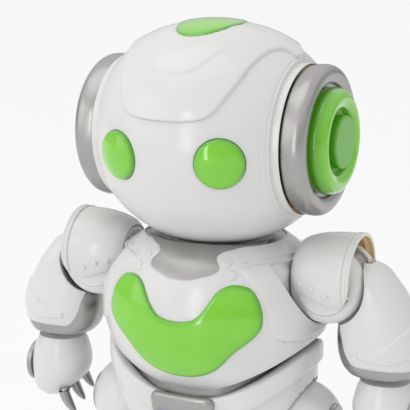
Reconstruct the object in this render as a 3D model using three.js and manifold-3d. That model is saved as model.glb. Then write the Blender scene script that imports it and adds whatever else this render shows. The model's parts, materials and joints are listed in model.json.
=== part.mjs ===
// A toy robot, 262 mm tall, as an assembly of moulded shells, lenses, pins, boards and wheels.
// Millimetres, +Z up. The robot faces -Y, its left side is +X, and the origin is on the floor under its middle.
import * as THREE from "three";
import Module from "manifold-3d";
import { mergeVertices } from "three/addons/utils/BufferGeometryUtils.js";

const wasm = await Module();
wasm.setup();

// ---------------------------------------------------------------- driving dimensions
const GAP = 0.3; // clearance between pieces that sit in or on each other
const WALL = 1.8; // wall of a moulded shell
const FAR = 120; // reach of a cutting block
const BODY_POWER = 2.15; // how square the torso and the pelvis are, seen from above
const SEGMENTS = 20; // sides of a large round piece
const LIMB_SEGMENTS = 14; // sides of a piece of an arm or a leg
const SMALL_SEGMENTS = 8; // sides of a pin or a boss

const HEAD_Z = 213; // height of the head's middle, which is also the ears' axis
const HEAD_LENGTH = 53; // half of the head's ellipsoid from ear to ear
const HEAD_RADIUS = 47; // half of the head's ellipsoid across
const HEAD_END = 38.5; // the head stops here and its ear lip starts
const LIP_END = 40.4;
const LIP_RADIUS = 31.2;
const EYE = new THREE.Vector3(23, -42, 208);
const EYE_RADIUS = 10.3;
const CAP_REACH = 78; // degrees from the crown to the cap's edge, over the brow and behind
const CAP_BOTTOM = 0.8;
const CAP_TOP = 1.9;
const CROWN = { y: -5, halfWidth: 15, halfLength: 19.5, rise: 2.3 };

const CHEST_Z = 138; // height of the torso's widest section
const CHEST_HALF_WIDTH = 48;
const CHEST_DEPTH_RATIO = 0.855; // half depth over half width
const CHEST_TOP = 170;
const CHEST_EDGE_FRONT = 110; // the torso's lower edge at its front and back
const CHEST_EDGE_RISE = 21; // how much higher that edge is at the sides
const SHOULDER_Z = 158;
const SHOULDER_FACE = 37.5; // the flat face that the arm turns against
const SHOULDER_RECESS = 20.8;
const TRUNNION_RADIUS = 4;
const TRUNNION_ROOM = 0.7; // the holes round the trunnion have flat sides, so they need more than the gap

const PAD_END = 64.5; // the shoulder pad opens outwards here
const PAD_WIDEN = 1.06; // the pad is deeper from front to back than it is high
const PAD_HEM = 151; // height of the pad's lower edge
const ELBOW = { x: 52.5, z: 155, radius: 16, halfDepth: 14 };
const TONGUE_HALF = 5;
const CUFF_X = 62; // the white forearm cover stops here, inboard of which the core shows
const CUFF_Z = 118.9;
const WRIST_X = 75.5;
const WRIST_RADIUS = 4;

const RIM_DROP = 4.2; // the open joint between the torso's edge and the waist skirt
const SKIRT_HEIGHT = 9.5;
const HIP = new THREE.Vector3(39, 0, 91.5);
const HIP_RADIUS = 18.4;
const AXLE_RADIUS = 2.5;
const PLATE_HALF = 14;

const FOOT_X = 34;
const WHEEL = { y: 14, radius: 8, halfTrack: 12, width: 5 };
const SOLE_BOTTOM = 1.6;
const SOLE_TOP = 6.2;

const white = () => new THREE.MeshStandardMaterial({ color: 0xe9e8e6, roughness: 0.28, metalness: 0 });
const green = () => new THREE.MeshStandardMaterial({ color: 0x7ccf2e, roughness: 0.15, metalness: 0 });
const silver = () => new THREE.MeshStandardMaterial({ color: 0x9c9b99, roughness: 0.38, metalness: 0.7 });
const grey = () => new THREE.MeshStandardMaterial({ color: 0x8f8f90, roughness: 0.6, metalness: 0 });
const steel = () => new THREE.MeshStandardMaterial({ color: 0xb8b9bc, roughness: 0.3, metalness: 1 });
const rubber = () => new THREE.MeshStandardMaterial({ color: 0x2b2b2d, roughness: 0.9, metalness: 0 });
const board = () => new THREE.MeshStandardMaterial({ color: 0x1f6b3a, roughness: 0.5, metalness: 0 });
const black = () => new THREE.MeshStandardMaterial({ color: 0x202124, roughness: 0.55, metalness: 0 });

// ---------------------------------------------------------------- solids
// A closed geometry as a solid, with its faces turned outwards.
function solidOf(geometry) {
  const bare = geometry.index ? geometry.toNonIndexed() : geometry.clone();
  bare.deleteAttribute("normal");
  bare.deleteAttribute("uv");
  const merged = mergeVertices(bare, 1e-4);
  const triVerts = new Uint32Array(merged.index.array);
  const vertProperties = merged.attributes.position.array;
  const solid = new wasm.Manifold(new wasm.Mesh({ numProp: 3, vertProperties, triVerts }));
  if (solid.volume() > 0) return solid;
  for (let i = 0; i < triVerts.length; i += 3) {
    [triVerts[i + 1], triVerts[i + 2]] = [triVerts[i + 2], triVerts[i + 1]];
  }
  return new wasm.Manifold(new wasm.Mesh({ numProp: 3, vertProperties, triVerts }));
}

function geometryOf(solid) {
  const { numProp, numVert, vertProperties, triVerts } = solid.getMesh();
  const position = new Float32Array(numVert * 3);
  for (let i = 0; i < numVert; i++) {
    position.set(vertProperties.subarray(i * numProp, i * numProp + 3), i * 3);
  }
  const geometry = new THREE.BufferGeometry();
  geometry.setAttribute("position", new THREE.BufferAttribute(position, 3));
  geometry.setIndex(new THREE.BufferAttribute(triVerts, 1));
  return geometry;
}

const cut = (solid, ...tools) => tools.reduce((rest, tool) => rest.subtract(tool), solid);
const join = (...solids) => solids.reduce((all, one) => all.add(one));
const common = (...solids) => solids.reduce((all, one) => all.intersect(one));

// ---------------------------------------------------------------- basic shapes
function box(xMin, xMax, yMin, yMax, zMin, zMax) {
  const geometry = new THREE.BoxGeometry(xMax - xMin, yMax - yMin, zMax - zMin);
  return solidOf(geometry.translate((xMin + xMax) / 2, (yMin + yMax) / 2, (zMin + zMax) / 2));
}

// A cylinder of that length, centred on a point and lying along a direction.
function rod(centre, direction, radius, length, sides = SMALL_SEGMENTS) {
  const geometry = new THREE.CylinderGeometry(radius, radius, length, sides);
  const turn = new THREE.Quaternion().setFromUnitVectors(
    new THREE.Vector3(0, 1, 0),
    direction.clone().normalize(),
  );
  return solidOf(geometry.applyQuaternion(turn).translate(centre.x, centre.y, centre.z));
}

const alongX = new THREE.Vector3(1, 0, 0);
const alongY = new THREE.Vector3(0, 1, 0);
const alongZ = new THREE.Vector3(0, 0, 1);
const at = (x, y, z) => new THREE.Vector3(x, y, z);

function ellipsoid(centre, radii, grow = 0, sides = 24) {
  const geometry = new THREE.SphereGeometry(1, sides, Math.round(sides / 2));
  geometry.scale(radii.x + grow, radii.y + grow, radii.z + grow);
  return solidOf(geometry.translate(centre.x, centre.y, centre.z));
}

// A profile of [x, radius] pairs turned about the X axis, at a height.
function turned(profile, height, sides = SEGMENTS) {
  const points = profile.map(([x, radius]) => new THREE.Vector2(radius, x));
  const geometry = new THREE.LatheGeometry(points, sides);
  return solidOf(geometry.rotateZ(-Math.PI / 2).translate(0, 0, height));
}

// An outline of [x, z] pairs pushed from the front of the robot to the back, between two depths.
function pushed(outline, yMin, yMax) {
  const shape = new THREE.Shape(outline.map(([x, z]) => new THREE.Vector2(x, z)));
  const geometry = new THREE.ExtrudeGeometry(shape, { depth: yMax - yMin, bevelEnabled: false });
  return solidOf(geometry.rotateX(Math.PI / 2).translate(0, yMax, 0));
}

// The triangles of a grid of points. Each row is a closed ring, and the rows are capped, or joined last to first.
function ringSurface(rings, closed = false) {
  const count = rings[0].length;
  const points = rings.flat();
  const index = [];
  const rows = closed ? rings.length : rings.length - 1;
  for (let i = 0; i < rows; i++) {
    const next = (i + 1) % rings.length;
    for (let j = 0; j < count; j++) {
      const k = (j + 1) % count;
      const [a, b, c, d] = [i * count + j, i * count + k, next * count + k, next * count + j];
      index.push(a, b, c, a, c, d);
    }
  }
  if (!closed) {
    for (const [row, turn] of [[0, 1], [rings.length - 1, 0]]) {
      const middle = rings[row].reduce((sum, p) => sum.add(p), new THREE.Vector3());
      points.push(middle.divideScalar(count));
      for (let j = 0; j < count; j++) {
        const [a, b] = [row * count + j, row * count + ((j + 1) % count)];
        index.push(points.length - 1, turn ? b : a, turn ? a : b);
      }
    }
  }
  return solidOf(new THREE.BufferGeometry().setFromPoints(points).setIndex(index));
}

// A sine or cosine drawn out to the power of a superellipse, which is squarer than a circle above 2.
const bow = (value, power = BODY_POWER) => Math.sign(value) * Math.abs(value) ** (2 / power);

// A superellipse ring about a centre, with half sizes a and b.
function ring(centre, a, b, power, zAt = () => centre.z, sides = SEGMENTS) {
  return Array.from({ length: sides }, (_, j) => {
    const angle = (j / sides) * 2 * Math.PI;
    const [x, y] = [a * bow(Math.sin(angle), power), b * bow(Math.cos(angle), power)];
    return at(centre.x + x, centre.y - y, zAt(angle));
  });
}

// A solid through rings given as {z, x, y, a, b}.
function lofted(sections, power, grow = 0, sides = SEGMENTS) {
  return ringSurface(
    sections.map((s) => ring(at(s.x, s.y, s.z), s.a + grow, s.b + grow, power, () => s.z, sides)),
  );
}

// A closed curve through the corners of an outline's right half, mirrored to the left.
function mirroredOutline(half, steps) {
  const left = half.slice(1, -1).reverse().map(([x, z]) => [-x, z]);
  const corners = [...half, ...left].map(([x, z]) => at(x, 0, z));
  const curve = new THREE.CatmullRomCurve3(corners, true, "centripetal");
  return curve.getSpacedPoints(steps).slice(0, -1).map((p) => [p.x, p.z]);
}

// An outline moved outwards by a distance along its normals.
function grown(outline, distance) {
  const count = outline.length;
  const area = outline.reduce((sum, [x, z], i) => {
    const [nextX, nextZ] = outline[(i + 1) % count];
    return sum + x * nextZ - nextX * z;
  }, 0);
  return outline.map(([x, z], i) => {
    const before = outline[(i + count - 1) % count];
    const after = outline[(i + 1) % count];
    const normal = new THREE.Vector2(after[1] - before[1], before[0] - after[0]).normalize();
    const step = Math.sign(area) * distance;
    return [x + normal.x * step, z + normal.y * step];
  });
}

// ---------------------------------------------------------------- head
const headRadius = (x, grow = 0) =>
  (HEAD_RADIUS + grow) * Math.sqrt(Math.max(0, 1 - (x / (HEAD_LENGTH + grow)) ** 2));

const headSolid = (grow) =>
  ellipsoid(at(0, 0, HEAD_Z), at(HEAD_LENGTH, HEAD_RADIUS, HEAD_RADIUS), grow, SEGMENTS);

const eyeNormal = () =>
  at(EYE.x / HEAD_LENGTH ** 2, EYE.y / HEAD_RADIUS ** 2, (EYE.z - HEAD_Z) / HEAD_RADIUS ** 2).normalize();

const mirrorX = (v) => at(-v.x, v.y, v.z);

// The barrel of the head with its two ear lips, before it is parted.
function headBarrel() {
  const line = (steps, share, drop) =>
    Array.from({ length: steps + 1 }, (_, i) => {
      const x = HEAD_END * share * ((2 * i) / steps - 1);
      return [x, headRadius(x) - drop];
    });
  const outer = line(8, 1, 0);
  const inner = line(4, 0.95, WALL + 0.6).reverse();
  const lipBore = LIP_RADIUS - WALL;
  const profile = [
    [-LIP_END, LIP_RADIUS], [-HEAD_END - 0.2, LIP_RADIUS], ...outer,
    [HEAD_END + 0.2, LIP_RADIUS], [LIP_END, LIP_RADIUS], [LIP_END, lipBore],
    ...inner, [-LIP_END, lipBore], [-LIP_END, LIP_RADIUS],
  ];
  return turned(profile, HEAD_Z);
}

function headShells() {
  const neckHole = rod(at(0, 0, HEAD_Z - HEAD_RADIUS), alongZ, 10, 14, 16);
  const normal = eyeNormal();
  const eyeHoles = [EYE, mirrorX(EYE)].map((eye, i) =>
    rod(eye, i ? mirrorX(normal) : normal, EYE_RADIUS + GAP, 20, 16),
  );
  const barrel = cut(headBarrel(), neckHole);
  const front = cut(common(barrel, box(-FAR, FAR, -FAR, -GAP / 2, 100, 300)), ...eyeHoles);
  const rear = common(barrel, box(-FAR, FAR, GAP / 2, FAR, 100, 300));
  return { front, rear };
}

// Half width of the crown cap at an angle from the crown, in degrees: nearly even, tapering to a rounded
// brow, with a tongue towards each ear at the very top.
function capHalfWidth(angle) {
  const share = Math.min(1, Math.abs(angle) / CAP_REACH);
  return (31 - 0.09 * Math.abs(angle)) * Math.sqrt(1 - share ** 8) + 9 * Math.exp(-((angle / 10) ** 2));
}

function onHead(x, degrees, grow) {
  const radius = headRadius(x, grow);
  const angle = THREE.MathUtils.degToRad(degrees);
  return at(x, -radius * Math.sin(angle), HEAD_Z + radius * Math.cos(angle));
}

const crownOval = (share) => ({ a: CROWN.halfWidth * share, b: CROWN.halfLength * share });

function crownHole(grow) {
  const { a, b } = crownOval(1);
  const outline = new THREE.Shape().absellipse(0, CROWN.y, a + grow, b + grow, 0, 2 * Math.PI);
  const geometry = new THREE.ExtrudeGeometry(outline, { depth: 40, bevelEnabled: false, curveSegments: 10 });
  return solidOf(geometry.translate(0, 0, HEAD_Z + 28));
}

// The raised cap: a patch of the head's surface pushed out, over the brow, across the top and down behind.
function crownCap() {
  const rows = 14;
  const columns = 8;
  const sheet = (grow) =>
    Array.from({ length: rows + 1 }, (_, i) => {
      const angle = (CAP_REACH * 0.996 * Math.sin(((2 * i) / rows - 1) * 1.25)) / Math.sin(1.25);
      const half = capHalfWidth(angle);
      return Array.from({ length: columns + 1 }, (_, j) => onHead(half * ((2 * j) / columns - 1), angle, grow));
    });
  const top = sheet(CAP_TOP);
  const bottom = sheet(CAP_BOTTOM);
  const rings = top.map((row, i) => [...row, ...bottom[i].slice().reverse()]);
  return cut(ringSurface(rings), crownHole(GAP));
}

// The lens in the crown: ovals that follow the head's surface, from its underside out and over its top.
function crownLens() {
  const onTop = (grow) => (share) => {
    const { a, b } = crownOval(share);
    return ring(at(0, CROWN.y, 0), a, b, 2, () => 0, 20).map(({ x, y }) => {
      const radius = headRadius(x, grow);
      return at(x, y, HEAD_Z + Math.sqrt(radius ** 2 - y ** 2));
    });
  };
  const under = [0.12, 0.4, 0.7, 1].map(onTop(CAP_BOTTOM));
  const over = [1, 0.9, 0.6, 0.3].map((share, i) => onTop([1.5, 1.9, 2.2, CROWN.rise][i])(share));
  return ringSurface([...under, ...over]);
}

// A domed lens, turned about its own axis and then set square to the face.
function eyeLens() {
  const profile = [[0, -3.4], [EYE_RADIUS, -3.4], [EYE_RADIUS, 0.8], [8.6, 1.7], [4.8, 2.4], [0, 2.7]];
  const points = profile.map(([radius, height]) => new THREE.Vector2(radius, height));
  const turn = new THREE.Quaternion().setFromUnitVectors(alongY, eyeNormal());
  const geometry = new THREE.LatheGeometry(points, 16).applyQuaternion(turn);
  return solidOf(geometry.translate(EYE.x, EYE.y, EYE.z));
}

const earRing = () =>
  turned(
    [
      [46.5, 0], [46.5, 27.6], [40.7, 27.6], [40.7, 29.6], [49.6, 30.2],
      [51.6, 28], [51, 23.8], [49, 22.9], [48.7, 0],
    ],
    HEAD_Z,
  );

const earDisc = () =>
  turned(
    [
      [49, 0], [49, 21.4], [53.4, 21.6], [56.1, 20.4], [57.3, 17.4], [56, 13.7], [52.4, 12.9], [52.4, 0],
    ],
    HEAD_Z,
  );

const earKnob = () => turned([[52.8, 0], [52.8, 10.8], [56.6, 10.8], [57.4, 10], [57.4, 0]], HEAD_Z, 16);

function eyeLightBoard() {
  const lamp = (x) => rod(at(x, -33.6, 208), alongY, 2.5, 5, 8);
  return join(box(-26, 26, -31.6, -30, 200, 216), lamp(EYE.x), lamp(-EYE.x));
}

function neckStem() {
  const tube = rod(at(0, 0, 167), alongZ, 9, 12, 16);
  const flange = rod(at(0, 0, 173.4), alongZ, 12.5, 2.4, 16);
  return cut(join(tube, flange), rod(at(0, 0, 167), alongZ, 5.5, 20, 8));
}

// ---------------------------------------------------------------- torso
// Half width of the torso at a height: a superellipse that closes sooner below than above.
function chestHalfWidth(z) {
  const above = z > CHEST_Z;
  const share = Math.min(1, above ? (z - CHEST_Z) / 39 : (CHEST_Z - z) / 42);
  const power = above ? 2.3 : 1.9;
  return CHEST_HALF_WIDTH * (1 - share ** power) ** (1 / power);
}

const level = (z) => () => z;
const chestEdge = (angle) => CHEST_EDGE_FRONT + CHEST_EDGE_RISE * Math.sin(angle) ** 2;

// The torso's surface, moved outwards by grow, from a lower edge to an upper height.
function chestSolid(grow, lowEdge, topEdge, rows = 7) {
  const rings = Array.from({ length: rows + 1 }, (_, i) => {
    const share = i / rows / 2 + (1 - Math.cos((i / rows) * Math.PI)) / 4;
    return Array.from({ length: SEGMENTS }, (_, j) => {
      const angle = (j / SEGMENTS) * 2 * Math.PI;
      const [low, top] = [lowEdge(angle), topEdge(angle)];
      const z = low + (top - low) * share;
      const a = chestHalfWidth(z) + grow;
      const b = chestHalfWidth(z) * CHEST_DEPTH_RATIO + grow;
      return at(a * bow(Math.sin(angle)), -b * bow(Math.cos(angle)), z);
    });
  });
  return ringSurface(rings);
}

// The middle of the torso between two flat ends, which the inner of two nested blocks overshoots.
const chestBlock = (grow) => chestSolid(grow, level(grow < 0 ? 102 : 104), level(grow < 0 ? 170 : 168));

// The room that each arm turns in, beside the torso.
const shoulderRecess = (grow) =>
  [1, -1].map((side) =>
    rod(at(side * (SHOULDER_FACE - grow + 20), 0, SHOULDER_Z), alongX, SHOULDER_RECESS + grow, 40, SEGMENTS),
  );

const necklineHalf = [
  [0, 158.8], [9, 159.9], [15.2, 162.4], [15, 165], [13.6, 167.4], [18, 169.6], [25, 173], [0, 182],
];
const lensHalf = [
  [0, 142.5], [8.6, 144.6], [12.4, 149], [15.8, 155.4], [21.8, 158.8], [28.4, 156], [32, 149.6],
  [33.2, 143], [30.6, 137.6], [23.6, 132], [17.6, 125.6], [10.4, 120.2], [0, 117.8],
];
const DOOR = { halfWidth: 20, bottom: 122, top: 156, screwZ: 127 };

const doorBlock = (grow) =>
  box(-DOOR.halfWidth - grow, DOOR.halfWidth + grow, 20, FAR, DOOR.bottom - grow, DOOR.top + grow);

function torsoShells() {
  const outer = cut(chestSolid(0, chestEdge, level(CHEST_TOP)), ...shoulderRecess(0));
  const inner = cut(chestSolid(-WALL, level(96.5), level(CHEST_TOP + 4), 9), ...shoulderRecess(WALL));
  const trunnionHoles = rod(at(0, 0, SHOULDER_Z), alongX, TRUNNION_RADIUS + TRUNNION_ROOM, 2 * FAR);
  const whole = cut(outer, inner, trunnionHoles);
  const neckline = pushed(mirroredOutline(necklineHalf, 22), -FAR, -2);
  const lensHole = pushed(grown(mirroredOutline(lensHalf, 26), GAP), -FAR, 0);
  const switchSlot = box(-9, -1, 20, FAR, 160.4, 164.6);
  const front = cut(common(whole, box(-FAR, FAR, -FAR, -GAP / 2, 90, 200)), neckline, lensHole);
  const rear = cut(common(whole, box(-FAR, FAR, GAP / 2, FAR, 90, 200)), doorBlock(GAP), switchSlot);
  return { front, rear };
}

function chestLens() {
  const block = pushed(mirroredOutline(lensHalf, 26), -FAR, 0);
  return cut(common(block, chestBlock(1.4)), chestBlock(-WALL));
}

// The grey yoke under the head: a band inside the neckline and a dish that clears the turning head.
function neckCollar() {
  const swept = (grow) => {
    const radii = at(HEAD_LENGTH, HEAD_LENGTH, HEAD_RADIUS);
    return ellipsoid(at(0, 0, HEAD_Z), radii, grow, 16);
  };
  const recess = WALL + 1;
  const room = box(-33, 33, -FAR, FAR, 154, 170);
  const body = cut(common(chestSolid(-recess, level(150), level(173), 5), room), swept(1.6));
  const inside = cut(chestSolid(-recess - 1.8, level(148), level(171), 4), swept(3.6));
  const stemHole = rod(at(0, 0, 160), alongZ, 9 + GAP, 40, 16);
  return cut(body, inside, stemHole);
}

function waistBand() {
  const recess = WALL + 1;
  const outer = chestSolid(-recess, level(102.8), (angle) => chestEdge(angle) + 3, 4);
  const inner = chestSolid(-recess - 1.6, level(104.6), level(150), 5);
  return cut(outer, inner, rod(at(0, 0, 104), alongZ, 8.6, 20, 16));
}

function batteryDoor() {
  const skin = cut(chestBlock(0), chestBlock(-WALL));
  const ribs = box(-9, 9, 38, 41.9, 149.5, 151);
  const grip = common(ribs, chestBlock(0.9));
  return cut(join(common(skin, doorBlock(0)), grip), rod(at(0, 36, DOOR.screwZ), alongY, 2.6, 12));
}

const batteryDoorScrew = () =>
  join(
    rod(at(0, 35.6, DOOR.screwZ), alongY, 2.2, 2),
    rod(at(0, 31.4, DOOR.screwZ), alongY, 1.3, 7, 12),
  );

function powerSwitch() {
  return box(-8.6, -5, 32, 35.4, 161, 164);
}

const speaker = () =>
  join(rod(at(0, -8, 132), alongY, 13, 6, 16), rod(at(0, -14, 132), alongY, 9, 6.2, 16));
const mainBoard = () => join(box(-26, 26, -22, -20.4, 119, 145), box(-8, 8, -24, -22, 126, 138));
const batteryPack = () => box(-27, 27, 4, 22, 122, 145.6);
const armGearbox = () => join(box(-35, 35, -8, 8, 150, 154), box(-22, 22, -11, 11, 147.6, 159.6));

// ---------------------------------------------------------------- arm, drawn on the robot's left
const elbowAt = (y = 0) => at(ELBOW.x, y, ELBOW.z);
const elbowPinHole = () => rod(elbowAt(), alongY, 1.5 + GAP, 60);

// The drum at the end of the upper arm, turned about the elbow's axis and rounded at both ends.
function elbowDrum(grow) {
  const { radius, halfDepth } = ELBOW;
  const half = [[0, halfDepth], [radius - 6, halfDepth], [radius - 1.8, halfDepth - 2.8], [radius, halfDepth - 7]];
  const profile = [...half, ...half.slice().reverse().map(([r, y]) => [r, -y])];
  const points = profile.map(([r, y]) => new THREE.Vector2(r ? r + grow : 0, y + Math.sign(y) * grow));
  return solidOf(new THREE.LatheGeometry(points, LIMB_SEGMENTS + 2).translate(ELBOW.x, 0, ELBOW.z));
}

// The shoulder pad's outer form, grown by a distance and lengthened past its mouth by another.
function padSolid(grow, past = 0) {
  const profile = [
    [SHOULDER_FACE + 0.7 - grow, 0], [SHOULDER_FACE + 0.7 - grow, 12 + grow], [42, 14.6 + grow],
    [47, 16.2 + grow], [54, 17.2 + grow], [PAD_END + past, 17.6 + grow], [PAD_END + past, 0],
  ];
  const points = profile.map(([height, radius]) => new THREE.Vector2(radius, height));
  const geometry = new THREE.LatheGeometry(points, LIMB_SEGMENTS + 2).rotateZ(-Math.PI / 2).scale(1, PAD_WIDEN, 1);
  return solidOf(geometry.translate(0, 0, SHOULDER_Z));
}

function shoulderPad() {
  const trunnionHole = rod(at(42, 0, SHOULDER_Z), alongX, TRUNNION_RADIUS + GAP, 20);
  const shell = cut(padSolid(0), padSolid(-WALL, 1), trunnionHole);
  return common(shell, box(0, FAR, -FAR, FAR, PAD_HEM, 300));
}

function upperArm() {
  const drum = common(elbowDrum(0), box(SHOULDER_FACE + 0.7, FAR, -FAR, FAR, 0, 300));
  const padWall = common(
    cut(padSolid(GAP, GAP), padSolid(-WALL - GAP, 1)),
    box(0, FAR, -FAR, FAR, PAD_HEM - GAP, 300),
  );
  const trunnion = rod(at(42, 0, SHOULDER_Z), alongX, TRUNNION_RADIUS, 12);
  const slot = box(45, FAR, -TONGUE_HALF - 0.4, TONGUE_HALF + 0.4, 146, 200);
  return cut(join(cut(drum, padWall), trunnion), slot, elbowPinHole());
}

const elbowPin = () => rod(elbowAt(), alongY, 1.5, 26);

const forearmSections = [
  { z: 164.6, x: 67.4, y: 0, a: 2.8, b: 4.5 },
  { z: 161, x: 69.2, y: 0, a: 6.6, b: 8.9 },
  { z: 150, x: 71.2, y: 0, a: 12.8, b: 13 },
  { z: 138, x: 72.6, y: 0, a: 17.4, b: 14.5 },
  { z: 129, x: 73.4, y: 0, a: 18, b: 14.6 },
  { z: 121, x: 74, y: 0, a: 15.8, b: 13.4 },
  { z: 115.4, x: 74.4, y: 0, a: 11.4, b: 11 },
];
const FOREARM_POWER = 2.4;
const forearmSolid = (grow) => lofted(forearmSections, FOREARM_POWER, grow, LIMB_SEGMENTS);
const elbowRoom = () => elbowDrum(0.5);

function forearmShell() {
  const skin = cut(forearmSolid(0), forearmSolid(-WALL));
  return cut(common(skin, box(CUFF_X, FAR, -FAR, FAR, CUFF_Z, 300)), elbowRoom());
}

function forearmCore() {
  const covered = box(CUFF_X - GAP, FAR, -FAR, FAR, CUFF_Z - GAP, 300);
  const body = join(forearmSolid(-WALL - GAP), cut(forearmSolid(-0.5), covered));
  const tongue = join(
    rod(elbowAt(), alongY, 6.5, 2 * TONGUE_HALF, 16),
    box(ELBOW.x, 74, -TONGUE_HALF, TONGUE_HALF, ELBOW.z - 5, ELBOW.z + 4),
  );
  const wristBore = rod(at(WRIST_X, 0, 117), alongZ, WRIST_RADIUS + GAP, 12);
  return cut(join(cut(body, elbowRoom()), tongue), wristBore, elbowPinHole());
}

const handSections = [
  { z: 114.8, x: 75.6, y: 0, a: 10.4, b: 10 },
  { z: 110.5, x: 75.8, y: 0, a: 12.2, b: 11.6 },
  { z: 104, x: 76, y: 0, a: 13.5, b: 12.6 },
  { z: 97, x: 76, y: 0, a: 13.1, b: 12.2 },
  { z: 91, x: 76, y: 0, a: 10.2, b: 9.8 },
  { z: 87.4, x: 76, y: 0, a: 5.4, b: 5.6 },
];
const FINGER_SPREAD = 8.4;
const FINGER_SLOPE = 0.4; // the front finger sits lower than the rear one
const fingerRoot = (y) => at(70.6, y, 95 + FINGER_SLOPE * y);

function handShell() {
  const stub = rod(at(WRIST_X, 0, 117.4), alongZ, WRIST_RADIUS, 6, 12);
  const palm = rod(at(69, 0, 91.8), at(0, 1, FINGER_SLOPE), 6.4, 2 * FINGER_SPREAD + 8, 12);
  const discSeat = rod(at(96, 0, 101.5), alongX, 9.8, 16, 12);
  return cut(join(lofted(handSections, 2.2, 0, LIMB_SEGMENTS), stub), palm, discSeat);
}

const handDisc = () =>
  turned([[88.3, 0], [88.3, 9.4], [89.6, 9], [90.8, 7], [91.8, 0]], 101.5, 12);

// One finger: rings along a short arc that curls inwards under the palm.
function finger(y) {
  const root = fingerRoot(y);
  const rings = [];
  const steps = 4;
  for (let i = 0; i <= steps; i++) {
    const share = i / steps;
    const lean = 0.35 + 0.55 * share;
    const centre = at(root.x - 6.2 * share * lean, root.y, root.z - 1 - 8 * share);
    const radius = 2.4 * Math.sqrt(1 - (share * 0.93) ** 3);
    rings.push(ring(centre, radius * 0.85, radius, 2, () => centre.z, 8));
  }
  return ringSurface(rings);
}

function fingers() {
  const bar = rod(fingerRoot(0), at(0, 1, FINGER_SLOPE), 1.6, 2 * FINGER_SPREAD);
  return join(finger(-FINGER_SPREAD), finger(0), finger(FINGER_SPREAD), bar);
}

// ---------------------------------------------------------------- pelvis
const PELVIS = { z: 108, a: 46, b: 39, reach: 36, bottom: 76, power: 2.2 };

function pelvisSolid(grow, topEdge) {
  const rows = 5;
  const rings = Array.from({ length: rows + 1 }, (_, i) => {
    return Array.from({ length: SEGMENTS }, (_, j) => {
      const angle = (j / SEGMENTS) * 2 * Math.PI;
      const z = PELVIS.bottom + ((topEdge(angle) - PELVIS.bottom) * i) / rows;
      const share = Math.max(0, (PELVIS.z - z) / PELVIS.reach);
      const scale = (1 - share ** PELVIS.power) ** (1 / PELVIS.power);
      return at(
        (PELVIS.a * scale + grow) * bow(Math.sin(angle)),
        -(PELVIS.b * scale + grow) * bow(Math.cos(angle)),
        z,
      );
    });
  });
  return ringSurface(rings);
}

const skirtEdge = (angle) => chestEdge(angle) - RIM_DROP;
const plateBlock = (grow) => box(-PLATE_HALF - grow, PLATE_HALF + grow, -FAR, -20, 70, 104 + grow);

function pelvisShell() {
  const body = pelvisSolid(0, (angle) => skirtEdge(angle) - 5.5);
  const cup = chestSolid(0.6, level(102.2), level(150), 5);
  const gearRoom = box(-13, 13, -20, 20, 80, 104);
  const hips = [HIP, mirrorX(HIP)].map((hip) => ellipsoid(hip, at(0, 0, 0), HIP_RADIUS + 1.4, LIMB_SEGMENTS));
  const thighRoom = [box(15.5, FAR, -FAR, FAR, 60, 88), box(-FAR, -15.5, -FAR, FAR, 60, 88)];
  const axle = rod(at(0, 0, HIP.z), alongX, AXLE_RADIUS + GAP, 2 * FAR);
  return cut(body, cup, gearRoom, ...hips, ...thighRoom, axle);
}

function waistSkirt() {
  const wallAt = (grow) =>
    Array.from({ length: 4 }, (_, i) => {
      const share = i / 3;
      const a = 48.6 - 0.3 * share + grow;
      const b = 41.5 - 0.3 * share + grow;
      return ring(at(0, 0, 0), a, b, BODY_POWER, (angle) => skirtEdge(angle) - SKIRT_HEIGHT * share);
    });
  const rings = [...wallAt(0), ...wallAt(-2).reverse()];
  return cut(ringSurface(rings, true), plateBlock(GAP));
}

function beltPlate() {
  const skin = cut(pelvisSolid(2.6, level(112)), pelvisSolid(0.6, level(114)));
  const outline = [[-PLATE_HALF, 104], [PLATE_HALF, 104], [PLATE_HALF - 1, 92], [8, 82], [-8, 82], [-PLATE_HALF + 1, 92]];
  return common(skin, pushed(outline, -FAR, -20));
}

const waistPost = () => join(rod(at(0, 0, 109.2), alongZ, 8, 13, 16), rod(at(0, 0, 116), alongZ, 10.5, 2, 16));
const hipAxle = () => rod(at(0, 0, HIP.z), alongX, AXLE_RADIUS, 102);
const legGearbox = () => cut(box(-12, 12, -18, 18, 81, 100), rod(at(0, 0, HIP.z), alongX, AXLE_RADIUS + GAP, 60));

// ---------------------------------------------------------------- leg, drawn on the robot's left
const bootSections = [
  { z: 66, x: 36, y: 0, a: 13.5, b: 13.5 },
  { z: 60, x: 35.8, y: 0, a: 16, b: 16 },
  { z: 48, x: 35.3, y: 0, a: 19, b: 19.5 },
  { z: 36, x: 34.8, y: -1.5, a: 21.5, b: 23 },
  { z: 26, x: 34.2, y: -4.5, a: 23.2, b: 30 },
  { z: 15, x: FOOT_X, y: -6, a: 24.5, b: 38 },
  { z: 6.5, x: FOOT_X, y: -6, a: 24.5, b: 39.5 },
];
const bootSolid = (grow, lift = 0) =>
  lofted(bootSections.map((s) => ({ ...s, z: s.z + lift })), 2.4, grow, LIMB_SEGMENTS + 2);

function thigh() {
  const hip = ellipsoid(HIP, at(0, 0, 0), HIP_RADIUS, LIMB_SEGMENTS + 2);
  const cone = new THREE.CylinderGeometry(17, 13.2, 18, LIMB_SEGMENTS).rotateX(Math.PI / 2).translate(36.5, 0, 75.5);
  const body = common(join(hip, solidOf(cone)), box(0, 53.4, -FAR, FAR, 0, 200));
  return cut(body, rod(at(30, 0, HIP.z), alongX, AXLE_RADIUS + GAP, 43));
}

const hipDisc = () => turned([[53.8, 0], [53.8, 10], [55.4, 9.6], [56.4, 8], [56.4, 0]], HIP.z, 12);

function kneeCap() {
  const cap = ellipsoid(at(36, -13.5, 61), at(10, 7, 9.5), 0, 12);
  return cut(common(cap, box(0, 80, -FAR, -8, 40, 80)), bootSolid(GAP), thighClearance());
}

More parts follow.
